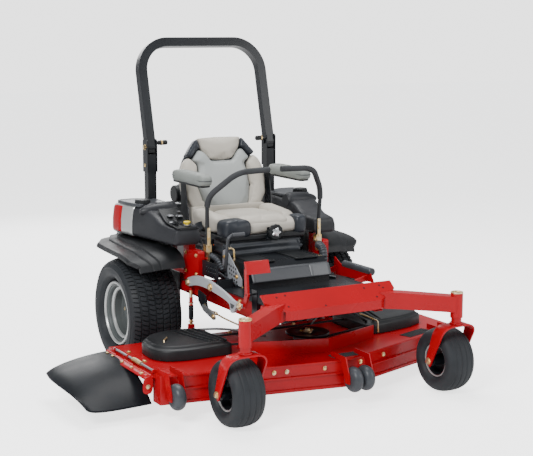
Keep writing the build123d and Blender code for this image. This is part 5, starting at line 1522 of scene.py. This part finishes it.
# --- cutting deck -----------------------------------------------------------------------
@dataclass
class Deck:
    """The cutting deck's dressing: edge rails, treads, covers, latches and bolts."""

    front: tuple[Pair, ...] = ((-885, -983), (50, -1150), (961, -845))
    pulley: Triple = (38, -800, 0)

    def along_front(self, z: float, out: float, start: float = 0.0, end: float = 1.0) -> Array:
        """Points along the deck's front at a height and a distance before it."""
        line = np.array(self.front, float)
        left, right = unit(line[1] - line[0]), unit(line[2] - line[1])
        normals = np.array([(left[1], -left[0]), unit((left + right)[::-1] * [1, -1]),
                            (right[1], -right[0])])
        normals = np.where(normals[:, 1:] > 0, -normals, normals)
        moved = line + normals * out
        share = np.linspace(start, end, 40)
        reach = np.array([0, 0.5, 1.0])
        return np.stack([np.interp(share, reach, moved[:, 0]), np.interp(share, reach, moved[:, 1]),
                         np.full(40, z)], -1)

    def rails(self) -> None:
        """Makes the bumper's ledge, its lower rail and the top lip as sections along the front."""
        for name, z, half, deep, out in (("lower_rail", 84, 8, 6, 3), ("bumper_ledge", 150, 5, 9, 4),
                                         ("top_lip", 211, 5, 5, 2)):
            path = self.along_front(z, out, 0.02, 0.985)
            section = rounded(box(-half, half, -deep / 2, deep / 2), 2, 3)
            Shell().sweep(path, section, (0, 0, 1)).piece(f"deck_{name}", "deck", RED, crease=50)
        bolts = Shell()
        for share in (0.16, 0.3, 0.335, 0.44, 0.56, 0.66, 0.86):
            x, y, z = self.along_front(182, 1, share, share)[0]
            bolts.bolt((x, y, z), Axis.Y, -1, 16, 8)
        for x, y in ((-860, -940), (-840, -700), (-838, -500), (905, -800), (905, -560), (-200, -380),
                     (200, -380), (560, -400)):
            bolts.bolt((x, y, 217), Axis.Z, 1, 18, 8)
        bolts.piece("deck_bolts", "deck", ZINC)

    def treads(self) -> None:
        """Makes the two studded step treads: rows of low four-sided studs on a thin pad."""
        for name, middle, size, turn in (("centre", (83, -1080), (150, 62), 0.0),
                                         ("left", (672, -882), (200, 74), 0.32)):
            c, s = math.cos(turn), math.sin(turn)
            shell = Shell()
            corners = np.array(box(-0.5, 0.5, -0.5, 0.5)) * size
            spin = np.array([[c, s], [-s, c]])
            shell.prism(corners @ spin + middle, 217, 219)
            nx, ny = int(size[0] / 11), int(size[1] / 11)
            gx, gy = np.meshgrid((np.arange(nx) + 0.5) / nx - 0.5, (np.arange(ny) + 0.5) / ny - 0.5)
            for centre in np.stack([gx.ravel() * size[0], gy.ravel() * size[1]], -1) @ spin + middle:
                foot = centre + np.array([(-4.2, 0), (0, -3), (4.2, 0), (0, 3)])
                tip = centre + 0.45 * (foot - centre)
                low, high = np.full((4, 1), 218.5), np.full((4, 1), 222.5)
                shell.grid(np.stack([np.hstack([foot, low]), np.hstack([tip, high])]), wrap_v=True,
                           caps=True)
            shell.piece(f"step_tread_{name}", "deck", GRIP_TAPE)

    def covers(self) -> None:
        """Makes the moulded belt covers with raised ribs, latches and the left cover's rod."""
        steps = [(0, 219), (0, 262), (4, 270), (20, 276), (27, 284), (33, 288), (60, 290), (120, 288)]
        right = [(-386, -470), (-386, -792), (-640, -798), (-752, -770), (-799, -690), (-790, -540),
                 (-724, -446), (-610, -406), (-470, -410)]
        left = [(404, -436), (404, -796), (520, -797), (720, -760), (842, -700), (849, -560), (800, -470),
                (700, -434)]
        for name, plan in (("right", right), ("left", left)):
            Shell().terrace(plan, steps, 46).piece(f"belt_cover_{name}", "deck", BLACK_PLASTIC,
                                                   ["belt_covers"], bevel=2.5, segments=3, crease=30)
        ribs = Shell()
        for k in range(4):
            for s, x0 in ((-1, 410), (1, 425)):
                path = spline([(s * (x0 + 6 + 30 * k), -752, 282), (s * (x0 + 10 + 30 * k), -744, 289),
                               (s * (x0 + 34 + 34 * k), -600, 290), (s * (x0 + 52 + 36 * k), -482, 289),
                               (s * (x0 + 54 + 36 * k), -474, 282)], 6)
                ribs.tube(path, 6, 12)
        ribs.piece("belt_cover_ribs", "deck", BLACK_PLASTIC, crease=50)
        latch = bent([(-716, -664, 288), (-712, -652, 296), (-672, -600, 296), (-668, -590, 288)], 6, 4)
        Shell().tube(latch, 4.5).piece("cover_latch_right", "deck", ZINC)
        rod = bent([(470, -818, 232), (470, -812, 292), (470, -700, 297), (470, -640, 297)], 12, 5)
        Shell().tube(rod, 5).piece("cover_rod_left", "deck", ZINC)

    def spindles(self) -> None:
        """Makes the centre pulley's dished disc and its hub."""
        disc = [(279, 12), (279, 108), (276, 113), (281, 115), (286, 112), (285, 104), (283, 96), (283, 60),
                (287, 46), (288, 12)]
        Shell().lathe(disc, self.pulley, Axis.Z, 96).piece("centre_pulley", "spindle_centre", BLACK_PAINT,
                                                           crease=25)
        hub = Shell().lathe([(287, 26), (291, 26), (292, 22), (292, 14)], self.pulley, Axis.Z, 32)
        x, y, _ = self.pulley
        hub.bolt((x, y, 291), Axis.Z, 1, 26, 14)
        for turn in np.radians(np.arange(3) * 120 + 20):
            hub.bolt((x + 34 * math.cos(turn), y + 34 * math.sin(turn), 287), Axis.Z, 1, 12, 6)
        hub.piece("centre_pulley_hub", "spindle_centre", ZINC)

    def ties(self) -> None:
        """Makes the tie rods and the idler's spring."""
        for k, line in enumerate((((-400, -400, 262), (-300, -470, 268), (-150, -600, 262)),
                                  ((-372, -430, 240), (-240, -560, 250), (-120, -640, 246)),
                                  ((404, -420, 262), (300, -480, 266), (180, -600, 262)))):
            Shell().tube(spline(line, 10), 6 - k, 14).piece(f"deck_tie_{k}", "deck", CAST)
        Shell().tube(coil(Axis.X, (-230, -110), (-468, 244), 11, 16), 2.4,
                     8).piece("idler_spring", "deck", STEEL)

    def build(self) -> None:
        """Makes all of the deck's dressing."""
        self.ties()
        self.rails()
        self.treads()
        self.covers()
        self.spindles()


@dataclass
class Deflector:
    """The rubber chute: a draped sheet on a red hinge plate with a sprung rod."""

    hinge: Pair = (-905.0, 204.0)
    near: float = -930.0
    far: float = -388.0
    tip: float = -1258.0
    low: float = 60.0

    def sheet(self) -> Array:
        """The sheet: a top that falls as v^1.7 and a front skirt that rounds down to the lower edge.

        With v out from the hinge and u from the rear to the skirt's foot, the height is
        top(v) - (top(v) - low(v)) (1 - cos q)^1.25 where q runs through a quarter turn over the
        last four fifths of u.

        Returns:
            The points, (v, u, 3).
        """
        v = np.linspace(0, 1, 36)[:, None]
        u = np.linspace(0, 1, 60)[None, :]
        top = self.hinge[1] - 10 * v - 72 * v**1.7
        foot = self.low + 10 * (1 - v) ** 2 + 34 * v**4
        q = np.clip((u - 0.20) / 0.80, 0, 1) * np.pi / 2
        z = top - (top - foot) * (1 - np.cos(q)) ** 1.25
        round_in = 1 - 0.34 * v**3
        along = (u * 0.72 + 0.28 * np.sin(u * np.pi / 2)) * (0.93 + 0.07 * round_in)
        y = self.far + (self.near + 6 - self.far) * along + 36 * v**3 * (1 - u)
        spread = np.sin(v * np.pi / 2 * 0.9) / math.sin(np.pi / 2 * 0.9)
        narrow = 1 - 0.06 * np.sin(q) * v - 0.10 * (1 - u) ** 4
        x = self.hinge[0] + (self.tip - self.hinge[0]) * spread * narrow
        return np.stack([x, np.broadcast_to(y, z.shape), z], -1)

    def build(self) -> None:
        """Makes the sheet, the plate with its tab, the rod and the spring."""
        Shell().grid(self.sheet()).piece("chute_sheet", "chute", CHUTE_RUBBER, ["deflector"], wall=6.0,
                                         crease=60)
        plate = Shell().grid(np.array([[(-897, y, 213), (-906, y, 212), (-922, y, 208), (-944, y, 202)]
                                       for y in np.linspace(self.near + 3, self.far, 8)]))
        plate.piece("chute_plate", "chute", RED, wall=5.0, crease=50)
        tab = rounded([(-899, 210), (-899, 150), (-908, 126), (-930, 122), (-950, 132), (-952, 160),
                       (-946, 196), (-930, 208)], 10, 4)
        Shell().prism(tab, self.near - 3, self.near + 2, Axis.Y).piece("chute_tab", "chute", RED, bevel=1.2)
        ties = Shell()
        for y in (-860, -740, -620, -500, -430):
            ties.bolt((-926, y, 207), Axis.Z, 1, 16, 8)
        ties.bolt((-925, self.near - 3, 160), Axis.Y, -1, 16, 7)
        ties.piece("chute_bolts", "chute", ZINC)
        Shell().tube(np.stack([np.full(12, -884.0), np.linspace(-905, -420, 12), np.full(12, 226.0)], -1),
                     6).piece("chute_rod", "deck", STEEL)
        Shell().tube(coil(Axis.Y, (-760, -660), (-884, 226), 10, 13), 2.2,
                     8).piece("chute_spring", "deck", ZINC)
        lugs = Shell()
        for y in (-912, -600, -440):
            lugs.prism(rounded([(-897, 217), (-870, 217), (-874, 232), (-884, 238), (-894, 232)], 5), y - 4,
                       y + 4, Axis.Y)
        lugs.piece("chute_lugs", "deck", RED, bevel=1.0)


@dataclass
class Rollers:
    """The anti-scalp rollers: turned balls with flat hubs."""

    radius: float = 63.5
    places: tuple[tuple[str, tuple[tuple[float, float], ...], Triple], ...] = (
        ("right", ((0.0, 31.0),), (-836, -1064, 131)), ("left", ((0.0, 31.0),), (830, -968, 131)),
        ("centre", ((-34.0, 30.0), (34.0, 30.0)), (84, -1222, 131)))

    def build(self) -> None:
        """Makes each roller."""
        for word, balls, at in self.places:
            shell = Shell()
            for shift, half in balls:
                angle = np.radians(np.linspace(-86, 86, 36))
                profile = [(shift - half, 14.0), (shift - half, 24.0)]
                profile += list(zip(shift + half * np.sin(angle),
                                    26 + (self.radius - 26) * np.cos(angle) ** 0.72))
                shell.lathe(profile + [(shift + half, 24.0), (shift + half, 14.0)], at, Axis.X, 64)
            shell.piece(f"ball_roller_{word}", f"roller_{word}", BELLOWS, [f"roller_front_{word}"],
                        crease=40)


# --- engine -----------------------------------------------------------------------------
@dataclass
class Engine:
    """The twin engine: finned cylinders, a vented shroud, an air cleaner and a muffler.

    Attributes:
        fan: the fan's axis, upright.
        canister: the middle of the air cleaner, which lies across.
        drum: the middle of the muffler, which lies across.
    """

    fan: Triple = (0, 455, 0)
    canister: Triple = (0, 421, 878)
    drum: Triple = (0, 668, 615)

    def cylinders(self) -> None:
        """Makes the cooling fins and rocker covers."""
        fins, fin = Shell(), [(372, 568), (520, 568), (532, 660), (384, 668)]
        for side in Side:
            s = side.value
            for k in range(9):
                x = s * (128 + 8 * k)
                fins.prism(rounded(fin, 14), x - 1.5, x + 1.5, Axis.X)
            cover = Shell().prism(rounded([(388, 582), (508, 582), (518, 648), (398, 654)], 14), s * 198,
                                  s * 216, Axis.X)
            for y, z in ((404, 594), (494, 594), (504, 640), (412, 644)):
                fins.bolt((s * 216, y, z), Axis.X, s, 10, 5)
            cover.piece(f"rocker_cover_{side.word}", "chassis", BLACK_PAINT, bevel=3.0, segments=3)
        fins.piece("cooling_fins", "chassis", CAST)

    def shroud(self) -> None:
        """Makes the fan shroud: a turned bowl, a screen of spokes and rings, and the well below the screen.
        """
        bowl = [(711, 150), (711, 172), (716, 174), (760, 172), (796, 164), (812, 150), (818, 132),
                (816, 128), (806, 128), (800, 140)]
        Shell().lathe(bowl, self.fan, Axis.Z, 96).piece("fan_shroud", "chassis", BLACK_PLASTIC,
                                                        ["engine_shroud"], crease=32)
        screen = Shell()
        for r in np.linspace(22, 126, 12):
            screen.lathe(box(812, 815, r - 1.6, r + 1.6), self.fan, Axis.Z, 64, closed=True)
        for turn in np.radians(np.arange(24) * 15):
            c, s = math.cos(turn), math.sin(turn)
            path = np.array([(r * c, self.fan[1] + r * s, 811.5) for r in (14, 70, 128)])
            screen.tube(path, 1.6, 6)
        screen.lathe([(808, 10), (808, 24), (818, 22), (819, 10)], self.fan, Axis.Z, 32)
        screen.piece("fan_screen", "chassis", STEEL)
        dark = [(802, 4), (802, 127), (798, 130), (794, 4)]
        Shell().lathe(dark, self.fan, Axis.Z, 48).piece("fan_well", "chassis", BLACK_PAINT)

    def cleaner(self) -> None:
        """Makes the air cleaner: a turned canister with ribs, an end lid, clips and an intake."""
        can = [(-150, 20), (-150, 46), (-146, 50), (-112, 51), (-110, 56), (-104, 57), (-100, 53), (90, 53),
               (94, 57), (100, 57), (104, 52), (140, 50), (148, 44), (150, 20)]
        Shell().lathe(can, self.canister, Axis.X, 72).piece("air_canister", "chassis", BLACK_PLASTIC,
                                                            ["air_cleaner"], crease=30)
        bands = Shell()
        for x in (-70, 60):
            bands.lathe(box(x - 9, x + 9, 54, 56), self.canister, Axis.X, 64, closed=True)
            bands.block((x - 12, x + 12), (380, 462), (815, 830))
        bands.piece("canister_straps", "chassis", STEEL, bevel=0.6)
        duct = spline([(96, 470, 866), (100, 500, 850), (70, 530, 826), (30, 545, 812)], 12)
        Shell().tube(duct, 22, 24).piece("intake_duct", "chassis", BELLOWS)

    def muffler(self) -> None:
        """Makes the muffler: a seamed drum, a pierced heat shield and a curved tail pipe."""
        drum = [(-150, 8), (-150, 40), (-145, 43), (-138, 43), (-136, 45), (-130, 45), (-128, 43.5),
                (128, 43.5), (130, 45), (136, 45), (138, 43), (145, 43), (150, 40), (150, 8)]
        Shell().lathe(drum, self.drum, Axis.X, 64).piece("muffler_drum", "chassis", STEEL, ["muffler"],
                                                         crease=30)
        angle = np.radians(np.linspace(-60, 100, 28))
        x = np.linspace(-118, 118, 40)
        points = np.empty((40, 28, 3))
        points[..., 0] = x[:, None]
        _, y, z = self.drum
        points[..., 1], points[..., 2] = y + 52 * np.cos(angle), z + 52 * np.sin(angle)
        Shell().grid(points).piece("heat_shield", "chassis", CAST, wall=1.5)
        slots = Shell()
        for k in range(9):
            for turn in (-20, 20, 60):
                a, middle = math.radians(turn), -100 + 25 * k
                at = (y + 52.4 * math.cos(a), z + 52.4 * math.sin(a))
                slots.tube(np.array([(x0, *at) for x0 in (middle - 7, middle, middle + 7)]), 2.6, 8)
        slots.piece("heat_shield_slots", "chassis", BLACK_PAINT)
        tail = spline([(110, 650, 600), (150, 660, 585), (176, 690, 575), (180, 726, 572)], 10)
        Shell().tube(tail, 15, 24).piece("tail_pipe", "chassis", STEEL)
        for side in Side:
            s = side.value
            pipe = spline([(s * 150, 520, 600), (s * 160, 570, 596), (s * 150, 620, 604),
                           (s * 120, 648, 612)], 10)
            Shell().tube(pipe, 14, 20).piece(f"exhaust_pipe_{side.word}", "chassis", STEEL)

    def build(self) -> None:
        """Makes the engine's pieces."""
        self.cylinders()
        self.shroud()
        self.cleaner()
        self.muffler()


@dataclass
class CadFinishes:
    """The finishes of the CAD nodes that show as they are."""

    table: dict[str, Finish] = field(default_factory=lambda: {**{node: RED
                                                                 for node in (
        "main_frame", "front_beam", "caster_arms", "foot_pedal", "deck_shell", "deck_brackets",
        "lift_shaft")}, **{node: BLACK_PAINT for node in ("rops_hoop", "rops_uprights", "rear_guard",
                                                          "floor_pan", "seat_console", "seat_pan",
                                                          "seat_suspension", "control_brackets")},
                                                              **{node: BLACK_PLASTIC
                                                                 for node in (
        "control_panel", "throttle_lever", "deck_belt", "rops_pin_right", "rops_pin_left")},
                                                              **{node: CAST for node in (
        "drive_units", "spindle_housings", "engine_block")},
                                                              **{node: STEEL
                                                                 for node in (
        "blade_spindle_right", "blade_spindle_centre", "blade_spindle_left", "muffler")},
                                                              "lever_bracket_right": ZINC,
                                                              "lever_bracket_left": ZINC,
                                                              "parking_brake_lever": KICK})

    def dress(self, nodes: dict[str, bpy.types.Object]) -> None:
        """Gives each CAD node that still shows its finish.

        Args:
            nodes: the CAD nodes by name.
        """
        for name, thing in nodes.items():
            if thing.hide_render:
                continue
            material = self.table.get(name, BLACK_PLASTIC).material()
            for slot in thing.material_slots:
                slot.material = material
            if not thing.material_slots:
                thing.data.materials.append(material)
            LOG.info("node %s wears %s", name, material.name)


def main() -> None:
    """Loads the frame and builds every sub-assembly."""
    global DATUM
    logging.basicConfig(level=logging.INFO, format="%(message)s")
    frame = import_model()
    DATUM = Datum()
    Studio().build()
    for side in Side:
        DriveWheel(side).build()
        Caster(side).build()
        SteeringLever(side).build()
        Pod(side).build()
    Seat().build()
    Controls().build()
    Frame().build()
    Lift().build()
    Deck().build()
    Deflector().build()
    Rollers().build()
    Engine().build()
    CadFinishes().dress(frame["nodes"])


if __name__ == "__main__":
    main()
